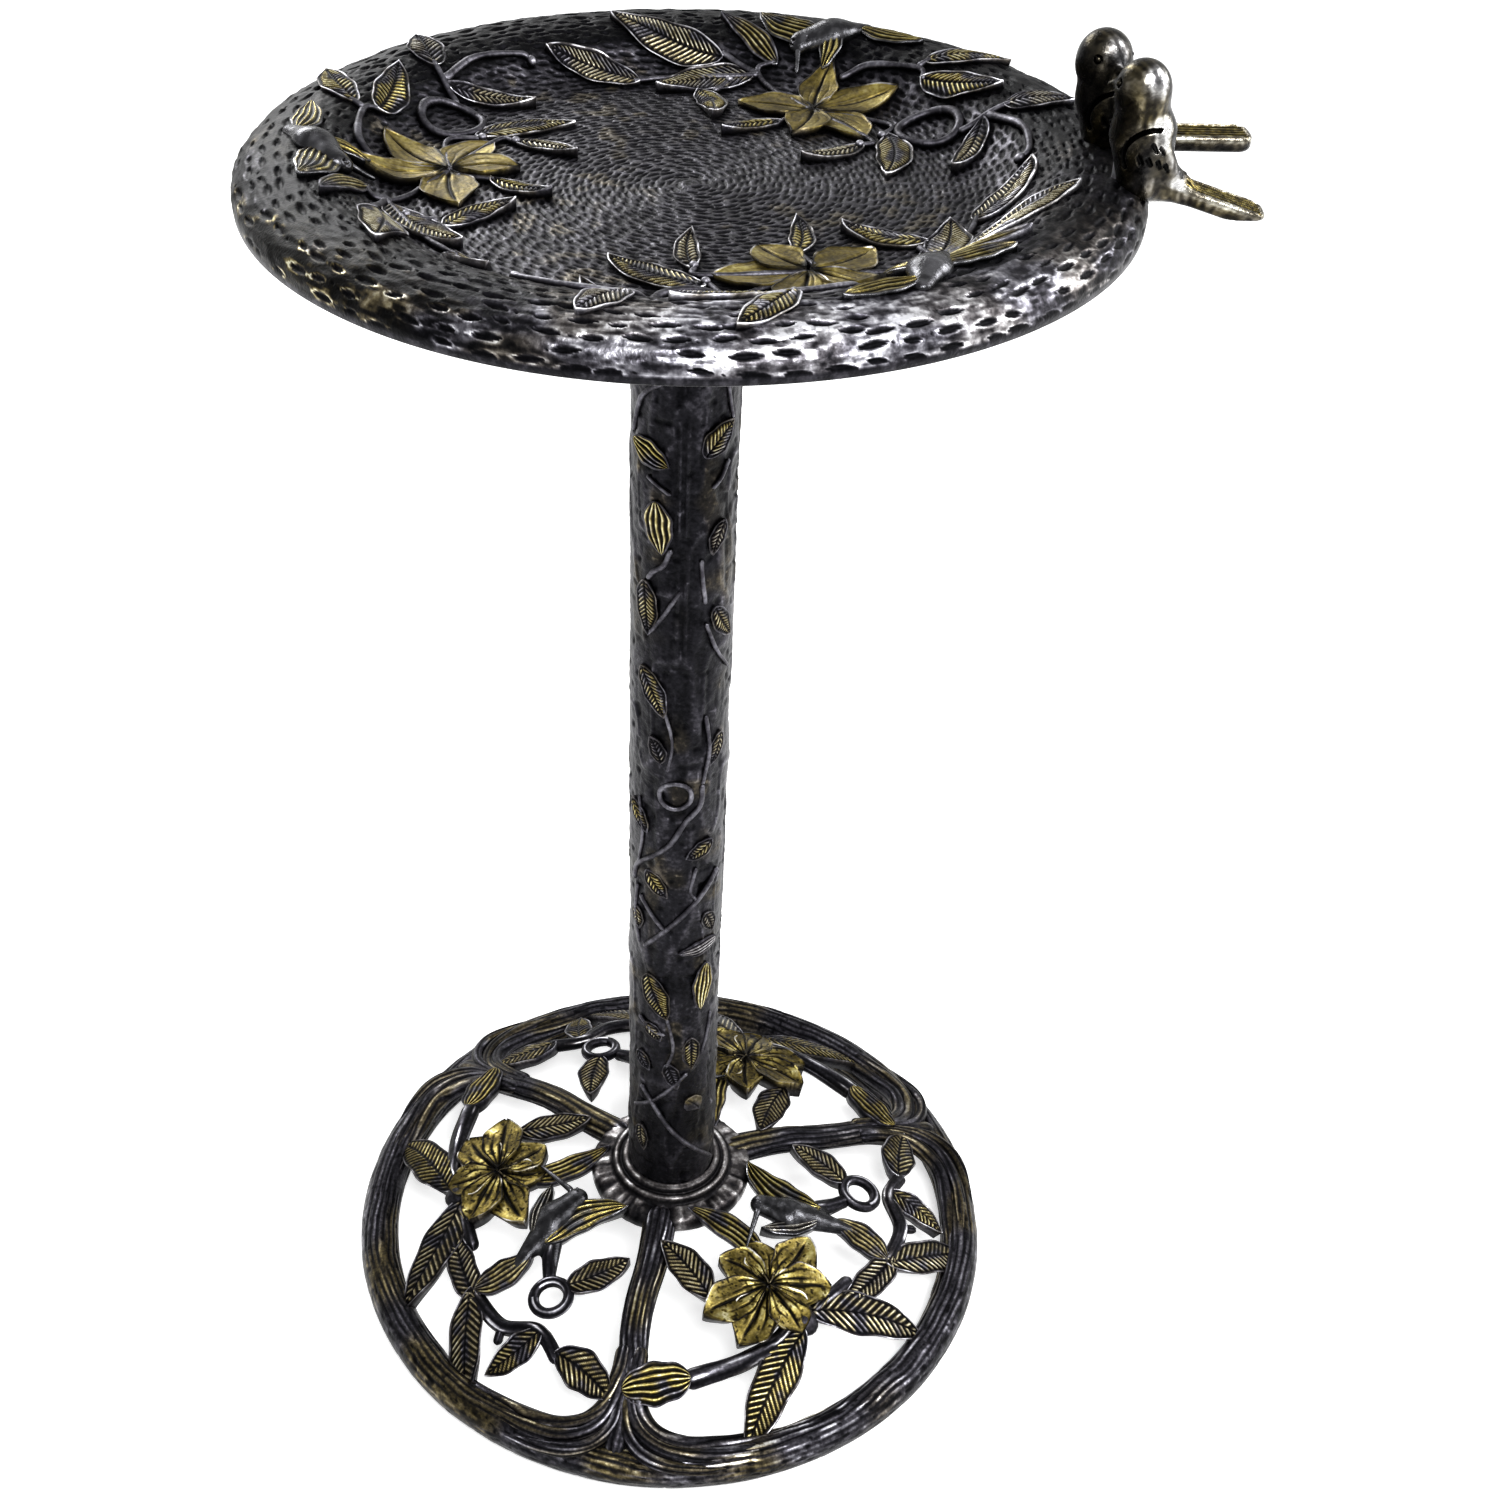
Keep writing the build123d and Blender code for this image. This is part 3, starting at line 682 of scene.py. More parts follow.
MATERIALS = {
    "pewter": antique("antique_pewter", PEWTER_GREYS, GILT_GOLDS, (0.5, 0.34), 0.55),
    "gilt": antique("rubbed_gilt", PEWTER_GREYS, GILT_GOLDS, (0.5, 0.36), 0.42),
    "bronze": antique("burnished_bronze", BRONZE_GREYS, GILT_GOLDS, (0.30, 0.2), 0.16),
    "brass": plain("turned_brass", (0.45, 0.32, 0.12), (0.62, 0.48, 0.2), 1.0, (0.25, 0.4), 300, (1, 1, 8)),
    "zinc_steel": plain("zinc_plate", (0.42, 0.42, 0.44), (0.6, 0.6, 0.63), 1.0, (0.3, 0.5), 400),
    "rubber": plain("black_rubber", (0.012, 0.012, 0.012), (0.03, 0.03, 0.03), 0.0, (0.6, 0.85), 500),
}
for entry in frame["record"]["subparts"]:
    node = frame["nodes"][entry["node"]]
    node.data.materials.clear()
    node.data.materials.append(MATERIALS[entry["material_slot"]])


# Base: the ring is a cast bough that lies on the ground


def ring_skin(along, phi, s):
    """Skin for the ring: broken grooves on top with crests between, rubbed on the crests, with a painted
    highlight brightest in front.
    """

    def cells(laps, strips, seed):
        """Noise with this many cells along the ring and round the bough."""
        return noise(s * laps, phi * strips, seed, laps, strips)

    wander = cells(24, 3, 21) + 0.35 * cells(70, 6, 22)
    fold = np.abs(np.sin(np.pi * (phi * 19 + 1.6 * wander)))
    fine = cells(110, 34, 23)
    groove = bell(fold, 0.26 + 0.4 * fine) * step_up(cells(60, 17, 26), 0.12, 0.4)
    crest = step_up(fold, 0.66, 0.96) * step_up(cells(90, 30, 27), 0.34, 0.72)
    pit = step_up(cells(320, 40, 28), 0.74, 0.9)
    blot = cells(300, 30, 29) - 0.5
    lines = 0.25 + 0.75 * step_up(np.cos((phi - 0.15) * TAU), -0.2, 0.6)
    grow = -1.2 * groove * lines - 0.5 * fine * (1 - groove) + 0.7 * (cells(40, 2, 25) - 0.5) - 0.4 * pit
    top = step_up(np.sin(phi * TAU), -0.5, 0.5)
    # Painted highlight: the crests and the whole skin are lighter towards the front of the ring
    front = bell(s - 0.79, 0.10)
    wear = 0.35 + 0.06 * front + 0.32 * (fine - 0.5) - 0.36 * pit + (1 - lines) * (0.7 * blot - 0.06)
    wear = (wear + lines * ((0.16 + 0.50 * front) * crest - 0.42 * groove)) * (0.40 + 0.60 * top)
    return grow, wear, step_up(cells(29, 3, 24), 0.42, 0.72) * 0.6 * (1 - groove)


ring = Shell()
ring_line = oval((0, 0), RING_R, RING_R, 960)
sweep(ring, flat, ring_line, BOUGH - 0.4, height=BOUGH_Z, sides=96, loop=True, skin=ring_skin)
for points in ring.points:
    points[:, 2] = np.maximum(points[:, 2], 0)
ring.make("ring_bough", "stand", ["base_ring"], "pewter")

# A spoke is a trunk that parts into roots. A root's points are how far out, how far to the side and how
# high they are, and its girth follows them.
TRUNK = ((38, 0), (80, 1.5), (120, -1.5), (160, 0.5), (186, 0))
SIDE_ROOTS = (
    (((146, 5, 47), (168, 6.5, 40), (185, 12, 33), (196, 24, 27.5), (199, 43, 24.5), (192, 68, 21),
      (180, 96, 20), (165, 124, 19)), 6.3),
    (((152, 3, 45), (176, 4, 37.5), (192, 9, 31), (203, 21, 27), (207, 40, 24.5), (202, 66, 23),
      (190, 95, 22), (174, 124, 20)), 5.8),
    (((158, 0.5, 42), (182, 2, 35), (199, 6, 29.5), (211, 17, 26), (216, 34, 24), (213.5, 56, 21),
      (206, 80, 18)), 5.4),
)
MIDDLE_ROOT = ((160, 41), (182, 32), (203, 24), (217, 18))


def by_spoke(d, w):
    """The place this far out along the spoke and this far to its side."""
    a = math.radians(SPOKE)
    return np.array([math.cos(a), math.sin(a)]) * d + np.array([-math.sin(a), math.cos(a)]) * w


for number, angle in enumerate(BASE_ANGLES, 1):
    spoke = Shell()
    # The third spoke faces the front, so its crests get a stronger painted highlight
    shine = 0.66 if number == 3 else 0.4
    sweep(spoke, on_dome, [by_spoke(d, w) for d, w in TRUNK],
          lambda s: 12.8 - 1.4 * np.sin(np.pi * s) - 2.2 * s**2, height=-7.8, squash=0.75, sides=84, step=1.0,
          skin=bark(14, 1.2, 31 + number, 0.6, shine))
    for hand in (1, -1):
        for strand, (path, girth) in enumerate(SIDE_ROOTS):
            run = [(*by_spoke(d, w * hand), z) for d, w, z in path]
            sweep(spoke, flat, run, lambda s: girth * (1 - 0.5 * step_up(s, 0.55, 1)), sides=44, step=1.0,
                  skin=bark(7, 1.1, 41 + number + 5 * hand + strand, 0.5, 0.9 * shine))
    run = [(*by_spoke(d, 0), z) for d, z in MIDDLE_ROOT]
    sweep(spoke, flat, run, lambda s: 7.5 + 2 * s, sides=44, step=1.0,
          skin=bark(8, 1.0, 51 + number, 0.5, 0.5 * shine))
    spoke.turned(angle).make(f"spoke_{number}", "stand", [f"base_spoke_{number}"], "pewter")

# Hub: its outline as (radius, height), from the column's socket over the lobed collar and back under it
HUB_SIDE = (
    (COLUMN_R + 0.15, 50), (COLUMN_R + 0.15, 77.4), (31.5, 78.4), (33.5, 78.4), (34.7, 77.2), (35.4, 75.2),
    (36.3, 74.6), (37.4, 75.4), (39.2, 76), (41, 75), (42, 72.4), (43.6, 71.0), (49, 70.2), (54, 69),
    (56.5, 66), (56.8, 62), (55, 58), (48, 56.8), (42.4, 56.6), (36.6, 44.3), (20, 44), (5.2, 44), (5.2, 50),
)
hub_line = curve_through(HUB_SIDE, 0.9)[0]
hub_r, hub_z = hub_line[:, 0][:, None], hub_line[:, 1][:, None]
hub_turn = once_round(300)[None, :] + 0 * hub_r


def hub_noise(cells, height, seed):
    return noise(hub_turn / TAU * cells, hub_r * height, seed, cells)


fray = hub_noise(48, 0.12, 61) + 0.8 * hub_noise(110, 0.08, 62)
collar = step_up(hub_r, 42.5, 44.5) * step_up(hub_z, 57, 60)
rise = collar * 2.2 * (fray - 0.9)
bright = bell(hub_r - 32.6, 1.4) * (hub_z > 76) + bell(hub_r - 39.4, 1.8) * (hub_z > 73)
hub_wear = 0.17 + 0.61 * bright * (0.5 + 0.9 * hub_noise(34, 0, 63)) + collar * (0.22 + 0.85 * (fray - 0.85))
hub = Shell()
hub_points = polar(hub_r + 0.3 * rise, hub_turn, hub_z + rise)
hub.tube(hub_points[::-1], hub_wear[::-1], 0.12 + 0 * hub_wear, loop=True)
hub.make("hub_collar", "stand", ["base_hub"], "pewter")

# The openwork between the spokes. A leaf is its base, tip, width, style, height, bow, gold and ribs.
base_blossom, base_tendril, base_bird = Shell(), Shell(), Shell()
BLOSSOM_LEAVES = (
    ((148, 18), (187, 90), 29, "vein", 2.2, 3, 0.55, 5.0),
    ((158, 10), (201, -64), 27, "vein", 2.2, -2, 0.8, 4.4),
    ((112, -36), (58, -43), 25, "vein", 1.6, -2, 0.6, 4.0),
    ((104, 12), (44, -13), 20, "stripe", 1.5, -5, 0.9, 5),
)
TENDRIL_LEAVES = (
    ((74, 102), (30, 85), 23, "vein", 1.6, -2, 0.6, 3.8),
    ((80, 146), (43, 178), 25, "vein", 1.8, 2, 0.65, 4.2),
    ((90, 130), (127, 151), 21, "vein", 1.8, 2, 0.75, 3.8),
    ((139, 92), (140, 164), 23, "vein", 1.8, -2, 0.55, 4.2),
    ((134, 104), (153, 44), 20, "vein", 1.2, 3, 0.5, 4.2),
    ((137, 94), (98, 74), 22, "stripe", 1.8, -3, 0.7, 6),
)
TENDRIL_STEMS = (
    ([(78, 152), (92, 130), (118, 122), (138, 96)], 5.2),
    ([(85, 97), (86, 80), (84, 66)], lambda s: 4.6 + 1.6 * s),
    ([(118, 123), (121, 134)], 3.4),
)
leaves(base_blossom, on_dome, BLOSSOM_LEAVES, 1)
sweep(base_blossom, on_dome, [(148, 12), (157, -12), (157, -42), (149, -80)], lambda s: 5.5 + 1.5 * s,
      height=-2.5, sides=28, step=0.9, skin=bark(7, 1.0, 71, 0.15, 1.5))
blade(base_blossom, on_dome, (150, -75), (132, -117), 26, "stripe", 3.4, seed=5, gold=0.9, stripes=6,
      fullness=1.0, sharpness=0.42, res=0.7)
ball(base_blossom, on_dome, (154, 14), 9, -1.5, 0.7, 0.38)
sweep(base_blossom, on_dome, [(150, 22), (146, 40), (140, 62)], 5, height=-2.5, sides=24, step=0.9,
      skin=bark(5, 0.7, 72, 0.2, 0.5))
flower(base_blossom, on_dome, BASE_FLOWER, BASE_PETALS, lift=2.4, seed=80, stamens=3, height=3.6, res=0.7,
       fold=1.6, gold=0.95, streaks=1.2, fullness=1.12, sharpness=0.78, shine=1.3)

leaves(base_tendril, on_dome, TENDRIL_LEAVES, 6)
for path, girth in TENDRIL_STEMS:
    sweep(base_tendril, on_dome, path, girth, height=-2.8, sides=26, step=0.9,
          skin=bark(6, 0.9, 73, 0.1, 1.2))
sweep(base_tendril, on_dome, oval((84, 108), 12.0, 11.4), 4.0, height=-1.2, sides=26, loop=True,
      skin=bark(4, 0.7, 74, 0.0, 1.3))


def base_hummer(p):
    d = cone(p, (67, 34, 1.5), (82, 48, 1.5), 8.0, 11.0, (1, 1, 0.75))
    d = soft_min(d, cone(p, (82, 48, 1.5), (108, 82, -1), 11.0, 4.5, (1, 1, 0.7)), 4)
    d = soft_min(d, cone(p, (84, 62, -2), (86, 92, -3), 8.0, 4.5, (1, 1, 0.7)), 5)
    return with_eye(d, p, (66, 30, 7.5), 1.9, 1.2)


feathered(base_bird, on_dome, base_hummer, (54, 18, -10), (116, 100, 13), 0.9, 0.38)
blade(base_bird, on_dome, (88, 70), (31, 45), 25, "stripe", 4.6, -6, bow=9, seed=12, gold=0.95, stripes=5)
blade(base_bird, on_dome, (96, 62), (84, 22), 13, "stripe", 5.5, -5, bow=2, seed=13, gold=0.2, stripes=4)
sweep(base_bird, on_dome, [(70, 29), (80, 18), (93, 4)], lambda s: 2.4 - 1.5 * s,
      height=lambda s: 3.5 + 1.5 * s, sides=14, step=0.8, skin=twig(0.6))

# Each third of the base is the same, but the two that face away from the front are darkened with painted
# shade
BASE_GROUPS = ((base_blossom, "blossom", 1, "gilt"), (base_tendril, "tendril", 0.6, "gilt"),
               (base_bird, "hummingbird", 0.6, "bronze"))
for number, (angle, painted_shade) in enumerate(zip(BASE_ANGLES, (0.09, 0.08, 0.0)), 1):
    for shell, name, share, slot in BASE_GROUPS:
        shell.turned(angle, share * painted_shade).make(f"{name}_{number}", "stand", [f"base_{name}_{number}"], slot)


# Column

rows = np.arange(COLUMN_FOOT, COLUMN_TOP + 0.01, 1.1)
turn = once_round(192)
CZ, CT = rows[:, None] + 0 * turn, turn[None, :] + 0 * rows[:, None]


def lap_noise(cells, height, seed):
    """Noise on the column with this many cells round it, each this tall."""
    return noise(CT / TAU * cells, CZ / height, seed, cells)


# A seam runs down each side, as a trench with a broken rail on either edge
grain = 0.5 * lap_noise(42, 15, 101) + 0.3 * lap_noise(96, 5, 102) + 0.2 * lap_noise(96, 2.2, 106)
swell = lap_noise(7, 34, 103)
ridge = 1 - np.abs(2 * lap_noise(16, 42, 107) - 1)
seam = np.abs((CT - 1.5 * math.pi + math.pi / 2) % math.pi - math.pi / 2) * COLUMN_R
trench = bell(seam, 6.5) * step_up(CZ, 430, 500)
rails = bell(seam - 2.6 - 1.2 * (noise(CT * 0, CZ / 45, 108) - 0.5), 0.8) * step_up(CZ, 490, 540)
rails = rails * step_up(noise(CT * 0, CZ / 30, 104), 0.2, 0.5)
pucker = step_up(lap_noise(30, 6, 105), 0.7, 0.95)
depth = 1.1 * (grain - 0.5) + 1.4 * (swell - 0.5) - 0.9 * trench + 1.6 * rails - 0.9 * pucker
depth = depth + 0.8 * step_up(ridge, 0.82, 1)
ends = step_up(CZ, COLUMN_FOOT + 26, COLUMN_FOOT + 30) * step_up(COLUMN_TOP - CZ, 0, 3)
depth = np.minimum(depth * ends, 1.2)
bark_wear = 0.18 + 0.34 * (grain - 0.5) + 0.16 * (swell - 0.5) - 0.12 * trench + 0.20 * rails - 0.22 * pucker
bark_wear = bark_wear + 0.16 * step_up(ridge, 0.84, 1) + 0.22 * step_up(lap_noise(64, 3.2, 109), 0.84, 0.95)
bark_wear = bark_wear + 0.10 * step_up(seam, 12, 36)
bark_gilt = 0.35 * step_up(lap_noise(12, 18, 110), 0.68, 0.9)
bark_points = polar(COLUMN_R + depth - 0.3, CT, CZ)
lining = polar(COLUMN_R - COLUMN_WALL, CT[::60], CZ[::60])[::-1]
lining[0, :, 2], lining[-1, :, 2] = COLUMN_TOP, COLUMN_FOOT
inside = np.zeros(lining.shape[:2])
column = Shell()
column.tube(np.concatenate([bark_points, lining])[::-1], np.concatenate([bark_wear, inside + 0.1])[::-1],
            np.concatenate([bark_gilt, inside])[::-1], loop=True)
column.make("column_bark", "stand", ["column"], "pewter")

# Leaves and vines on the column, as (degrees, height). The other half repeats them.
COLUMN_LEAVES = (
    ((209, 663), (255, 652), 12, "stripe", 0.95), ((291, 658), (326, 676), 12, "vein", 0.8),
    ((241, 630), (249, 597), 13, "stripe", 0.75), ((227, 577), (233, 541), 11, "vein", 0.7),
    ((223, 518), (253, 486), 11, "vein", 0.75), ((307, 561), (334, 536), 9, "vein", 0.6),
    ((207, 415), (234, 395), 9, "vein", 0.9), ((313, 390), (280, 379), 9, "vein", 0.7),
    ((234, 366), (260, 347), 9, "vein", 0.85), ((214, 330), (223, 313), 8, "vein", 0.5),
    ((326, 305), (274, 300), 9, "stripe", 0.1), ((236, 278), (262, 241), 13, "vein", 0.85),
    ((310, 287), (303, 246), 11, "stripe", 0.85), ((232, 233), (254, 220), 8, "vein", 0.5),
    ((223, 204), (240, 190), 8, "vein", 0.6), ((292, 223), (293, 193), 9, "vein", 0.8),
    ((288, 164), (306, 152), 10, "smooth", 0.6), ((227, 132), (233, 109), 8, "vein", 0.5),
    ((252, 745), (276, 764), 9, "vein", 0.3), ((322, 470), (306, 448), 8, "vein", 0.5),
    ((250, 452), (236, 470), 8, "vein", 0.3), ((262, 200), (276, 176), 8, "vein", 0.4),
    ((306, 330), (318, 312), 8, "vein", 0.3), ((318, 616), (302, 596), 8, "vein", 0.3),
)
COLUMN_VINES = (
    (((229, 644), (257, 635)), 1.5), (((321, 653), (312, 644), (300, 638)), 1.6),
    (((258, 601), (250, 590), (238, 584), (231, 578)), 1.9), (((235, 543), (250, 556), (268, 574)), 1.6),
    (((290, 594), (292, 580), (296, 564)), 1.6), (((297, 551), (312, 530), (332, 514)), 1.5),
    (((206, 666), (222, 690), (251, 703)), 1.9), (((251, 703), (240, 730), (256, 752)), 1.6),
    (((298, 435), (296, 420), (279, 408), (259, 388), (219, 366), (212, 351)), 2.2),
    (((219, 366), (226, 392), (220, 420)), 1.4), (((223, 342), (240, 330), (257, 319)), 1.8),
    (((325, 363), (295, 343), (261, 321), (230, 300)), 2.3), (((295, 343), (287, 352), (293, 370)), 1.5),
    (((218, 348), (214, 325), (222, 300)), 1.6), (((288, 190), (270, 178), (244, 161), (214, 147)), 1.9),
    (((227, 172), (244, 159), (267, 137), (293, 118), (334, 91)), 2.1),
    (((222, 236), (242, 228), (260, 226)), 1.5), (((321, 239), (316, 222), (308, 205)), 1.5),
    (((298, 435), (306, 460), (300, 486)), 1.7), (((248, 500), (262, 470), (258, 446)), 1.3),
    (((310, 700), (318, 724), (306, 748)), 1.5), (((326, 676), (316, 700)), 1.3),
    (((262, 241), (270, 214), (262, 196)), 1.5),
)
foliage = Shell()
for half_turn in (0, 180):

    def arc(degrees, z):
        return math.radians(degrees + half_turn) * COLUMN_R, z

    for number, (base, tip, width, style, gold) in enumerate(COLUMN_LEAVES):
        blade(foliage, on_column, arc(*base), arc(*tip), 1.4 * width, style, 1.6, -1.5, res=0.45, gold=gold,
              bow=1.2 * math.sin(number * 2.1), seed=120 + number, pitch=2.6, shine=1.1, outline=0.35)
    for path, girth in COLUMN_VINES:
        sweep(foliage, on_column, [arc(*place) for place in path], 0.85 * girth, height=0.3, sides=12,
              step=1.0, skin=twig(0.52))
    sweep(foliage, on_column, oval(arc(267, 428), 9.6, 9.6), 1.7, height=0.3, sides=12, loop=True,
          skin=twig(0.55))
foliage.make("column_foliage", "stand", ["column"], "gilt")


# Bowl ornament

dish_blossom, dish_spray, dish_bird = Shell(), Shell(), Shell()
flower(dish_blossom, on_bowl, DISH_FLOWER, DISH_PETALS, lift=1.3, seed=230, height=2.9, under=-1.5, res=0.55,
       fold=1.0, gold=0.97, streaks=0.32, fullness=0.95, sharpness=0.95, shine=0.85)

# A leaf is its base, tip, width, style, gold, bow and how far its tip curls up
DISH_LEAVES = (
    ((100, 6), (67, 24), 13, "vein", 0.9, -3, 3.0), ((96, -46), (60, -29), 13, "vein", 0.5, 3, 3.0),
    ((116, -50), (66, -76), 20, "vein", 0.7, 4, 0.0), ((139, -94), (90, -101), 14, "vein", 0.5, 2, 3.5),
    ((145, -102), (160, -134), 20, "vein", 0.35, 0, 1.0), ((166, -42), (163, -92), 17, "vein", 0.9, -2, 1.0),
    ((176, -38), (198, -78), 18, "vein", 0.8, 3, 1.0), ((156, 44), (168, 90), 13, "stripe", 0.8, -2, 2.0),
    ((146, 74), (132, 142), 23, "vein", 0.55, 3, 1.0), ((144, 52), (102, 90), 24, "vein", 0.6, -4, 3.0),
    ((114, 70), (83, 40), 17, "vein", 0.85, 4, 3.5), ((104, 102), (82, 152), 20, "vein", 0.5, -2, 2.0),
)
DISH_STEMS = (
    ((118, 6), (98, 7)), ((122, 0), (104, -46), (94, -45)), ((122, 0), (130, -42), (112, -48)),
    ((131, -84), (139, -94), (147, -106)), ((140, -96), (126, -122), (104, -137), (97, -136)),
    ((160, 6), (170, -8), (172, -36), (165, -44)), ((172, -36), (180, -40)), ((122, 0), (146, 50), (158, 46)),
    ((146, 50), (148, 76)), ((146, 50), (122, 86), (102, 106)), ((118, 62), (134, 62)),
)
for number, (base, tip, width, style, gold, bow, curl) in enumerate(DISH_LEAVES):
    blade(dish_spray, on_bowl, base, tip, width, style, 2.6, -1.5, bow=bow, curl=curl, res=0.55, gold=gold,
          seed=240 + number, pitch=2.9, shine=1.4)
for path in DISH_STEMS:
    sweep(dish_spray, on_bowl, path, lambda s: 2.1 - 0.6 * s, height=1.3, sides=16, step=0.8, skin=twig(0.56))
sweep(dish_spray, on_bowl, oval((131, -66), 16.5, 16.5), 2.3, height=1.6, sides=16, loop=True,
      skin=twig(0.52))
for place in ((97, -136), (94, -45), (112, -48), (134, 62)):
    ball(dish_spray, on_bowl, place, 2.6, 1.8, wear=0.75)


def dish_hummer(p):
    d = cone(p, (171, 38, 1.6), (184, 25, 1.6), 6.8, 9.0, (1, 1, 0.68))
    d = soft_min(d, cone(p, (184, 25, 1.6), (198, 12, 0.4), 9.0, 4.5, (1, 1, 0.62)), 4)
    d = with_eye(d, p, (172, 33.8, 4.5), 1.7, 1.0)
    return with_eye(d, p, (167.6, 41.2, 4.5), 1.7, 1.0)


# Its tail and its two wings
DISH_FEATHERS = (
    ((195, 14), (196, -26), 15, "stripe", 3.0, -2, 0.9, 5),
    ((182, 30), (182, 72), 21, "stripe", 3.4, 4, 0.85, 7),
    ((186, 27), (161, 17), 13, "stripe", 5.0, 2, 0.9, 4),
)
feathered(dish_bird, on_bowl, dish_hummer, (160, -2, -6), (212, 50, 14), 0.8, 0.40)
leaves(dish_bird, on_bowl, DISH_FEATHERS, 260, under=-1, res=0.55)
sweep(dish_bird, on_bowl, [(168, 37.5), (162, 34), (155, 30.5)], lambda s: 2.0 - 1.0 * s, height=2.4,
      sides=12, step=0.7, skin=twig(0.6))

# The third group faces the front, and its outer edges get a painted silver highlight
DISH_GROUPS = ((dish_blossom, "blossom", 0, "gilt"), (dish_spray, "spray", 1, "gilt"),
               (dish_bird, "hummingbird", 0.3, "bronze"))
for number, (angle, silver_glint) in enumerate(zip(DISH_ANGLES, (0.0, 0.0, 0.24)), 1):
    for shell, name, share, slot in DISH_GROUPS:
        piece = shell.turned(angle, silver_glint=share * silver_glint)
        piece.make(f"bowl_{name}_{number}", "bowl", [f"dish_{name}_{number}"], slot)

# Where the ornament lies, as a soft map over the bowl, so that painted shade can darken the bowl round it
MAP = 240
shade = np.zeros((2 * MAP, 2 * MAP))
for shell in (dish_blossom, dish_spray, dish_bird):
    for angle in DISH_ANGLES:
        spots = np.vstack(shell.turned(angle).points)[:, :2]
        cell = np.clip(np.round(spots + MAP).astype(int), 0, 2 * MAP - 1)
        shade[cell[:, 0], cell[:, 1]] = 1
for _ in range(2):
    for axis in (0, 1):
        shade = sum(np.roll(shade, k, axis) for k in range(-3, 4)) / 7


def ornament_shade(x, y):
    """0 away from the ornament, towards 1 under and beside it."""
    i = np.clip(np.round(x + MAP).astype(int), 0, 2 * MAP - 1)
    j = np.clip(np.round(y + MAP).astype(int), 0, 2 * MAP - 1)
    return shade[i, j]


# Bowl casting: its top line runs from near the centre over the crest to the rim, its under line back
brow = np.linspace(0, np.pi / 2, 200)
plate_r = np.arange(CENTRE_R, CREST_R, 0.2)
dense_r = np.r_[plate_r, CREST_R + (RIM - CREST_R) * np.sin(brow)]
dense_z = np.r_[bowl_z(plate_r), EDGE_Z + (CREST_Z - EDGE_Z) * np.cos(brow)]
top_line, top_length = curve_through(np.stack([dense_r, dense_z], -1)[::3], 0.85)
slope = np.gradient(top_line, axis=0)
slope = slope / np.linalg.norm(slope, axis=1, keepdims=True)
top_normal = np.stack([-slope[:, 1], slope[:, 0]], -1)
top_along = np.linspace(0, top_length, len(top_line))
lip_start = top_along[np.argmin(np.abs(top_line[:, 0] - LIP_R))]

hollow = np.linspace(0.12, np.pi / 2, 12)
plate_r = np.linspace(CREST_R - 3, BOSS_R + 1, 60)
inner_r = np.r_[CREST_R + (RIM - CREST_R - WALL) * np.cos(hollow), plate_r]
inner_z = np.r_[EDGE_Z + (CREST_Z - EDGE_Z - WALL) * np.sin(hollow), bowl_z(plate_r) - WALL]
HEM_Z = EDGE_Z - SKIRT
hem = [(RIM, EDGE_Z - 1.5), (RIM - 0.2, HEM_Z + 0.8), (RIM - 1.2, HEM_Z), (RIM - WALL + 1.2, HEM_Z),
       (RIM - WALL, HEM_Z + 1), (RIM - WALL, EDGE_Z)]
boss = [(BOSS_R, inner_z[-1] - 1), (BOSS_R, BOSS_Z + 0.8), (BOSS_R - 0.8, BOSS_Z), (SOCKET_R, BOSS_Z),
        (SOCKET_R, SOCKET_TOP), (CENTRE_R, SOCKET_TOP)]
under_line = np.vstack([hem, np.stack([inner_r, inner_z], -1), boss])

# Two layers of pits on the lip: where a layer starts and ends along the top line, how far apart its rows
# are, how many pits a row has, how long and wide they are, and a seed. They have that length at LIP_MIDDLE_R.
LIP_LAYERS = ((-2, 24, 4.6, 124, 7.6, 2.1, 301), (22, 66, 7.4, 76, 13.0, 3.5, 311))
LIP_MIDDLE_R = 205


def lip_pattern(theta, along):
    """Pointed pits on the lip, small inside and long outside, and the rubbed rims round them."""
    deep, halo = np.zeros(len(theta)), np.zeros(len(theta))
    for first, last, row_pitch, count, length, width, seed in LIP_LAYERS:
        inside = step_up(along, first - 1, first + 1) * step_up(last - along, -1, 1)
        if inside <= 0:
            continue
        row = np.full(len(theta), int(math.floor(along / row_pitch)))
        turns = theta / TAU * count + scatter(row, row * 0, seed)
        place = np.floor(turns).astype(np.int64)
        chance = [scatter(place % count, row, seed + number) for number in range(6)]
        size = (0.6 + 0.55 * chance[1]) * (chance[5] > 0.16)
        a = (turns - place - 0.5 + (chance[2] - 0.5) * 0.4) * (TAU * LIP_MIDDLE_R / count)
        b = along - (row + 0.5) * row_pitch + (chance[3] - 0.5) * 0.35 * row_pitch
        b = b - a * (chance[4] - 0.5) * 0.3
        long, wide = np.maximum(size, 0.05), (0.7 + 0.4 * size) * (size > 0)
        pit = lens(a, b, length / 2 * long, width / 2 * wide + 1e-3)
        ring_round = lens(a, b, length * 0.68 * long, width * 0.85 * wide + 1e-3)
        deep, halo = np.maximum(deep, pit * inside), np.maximum(halo, ring_round * inside)
    return deep, halo * (1 - deep)


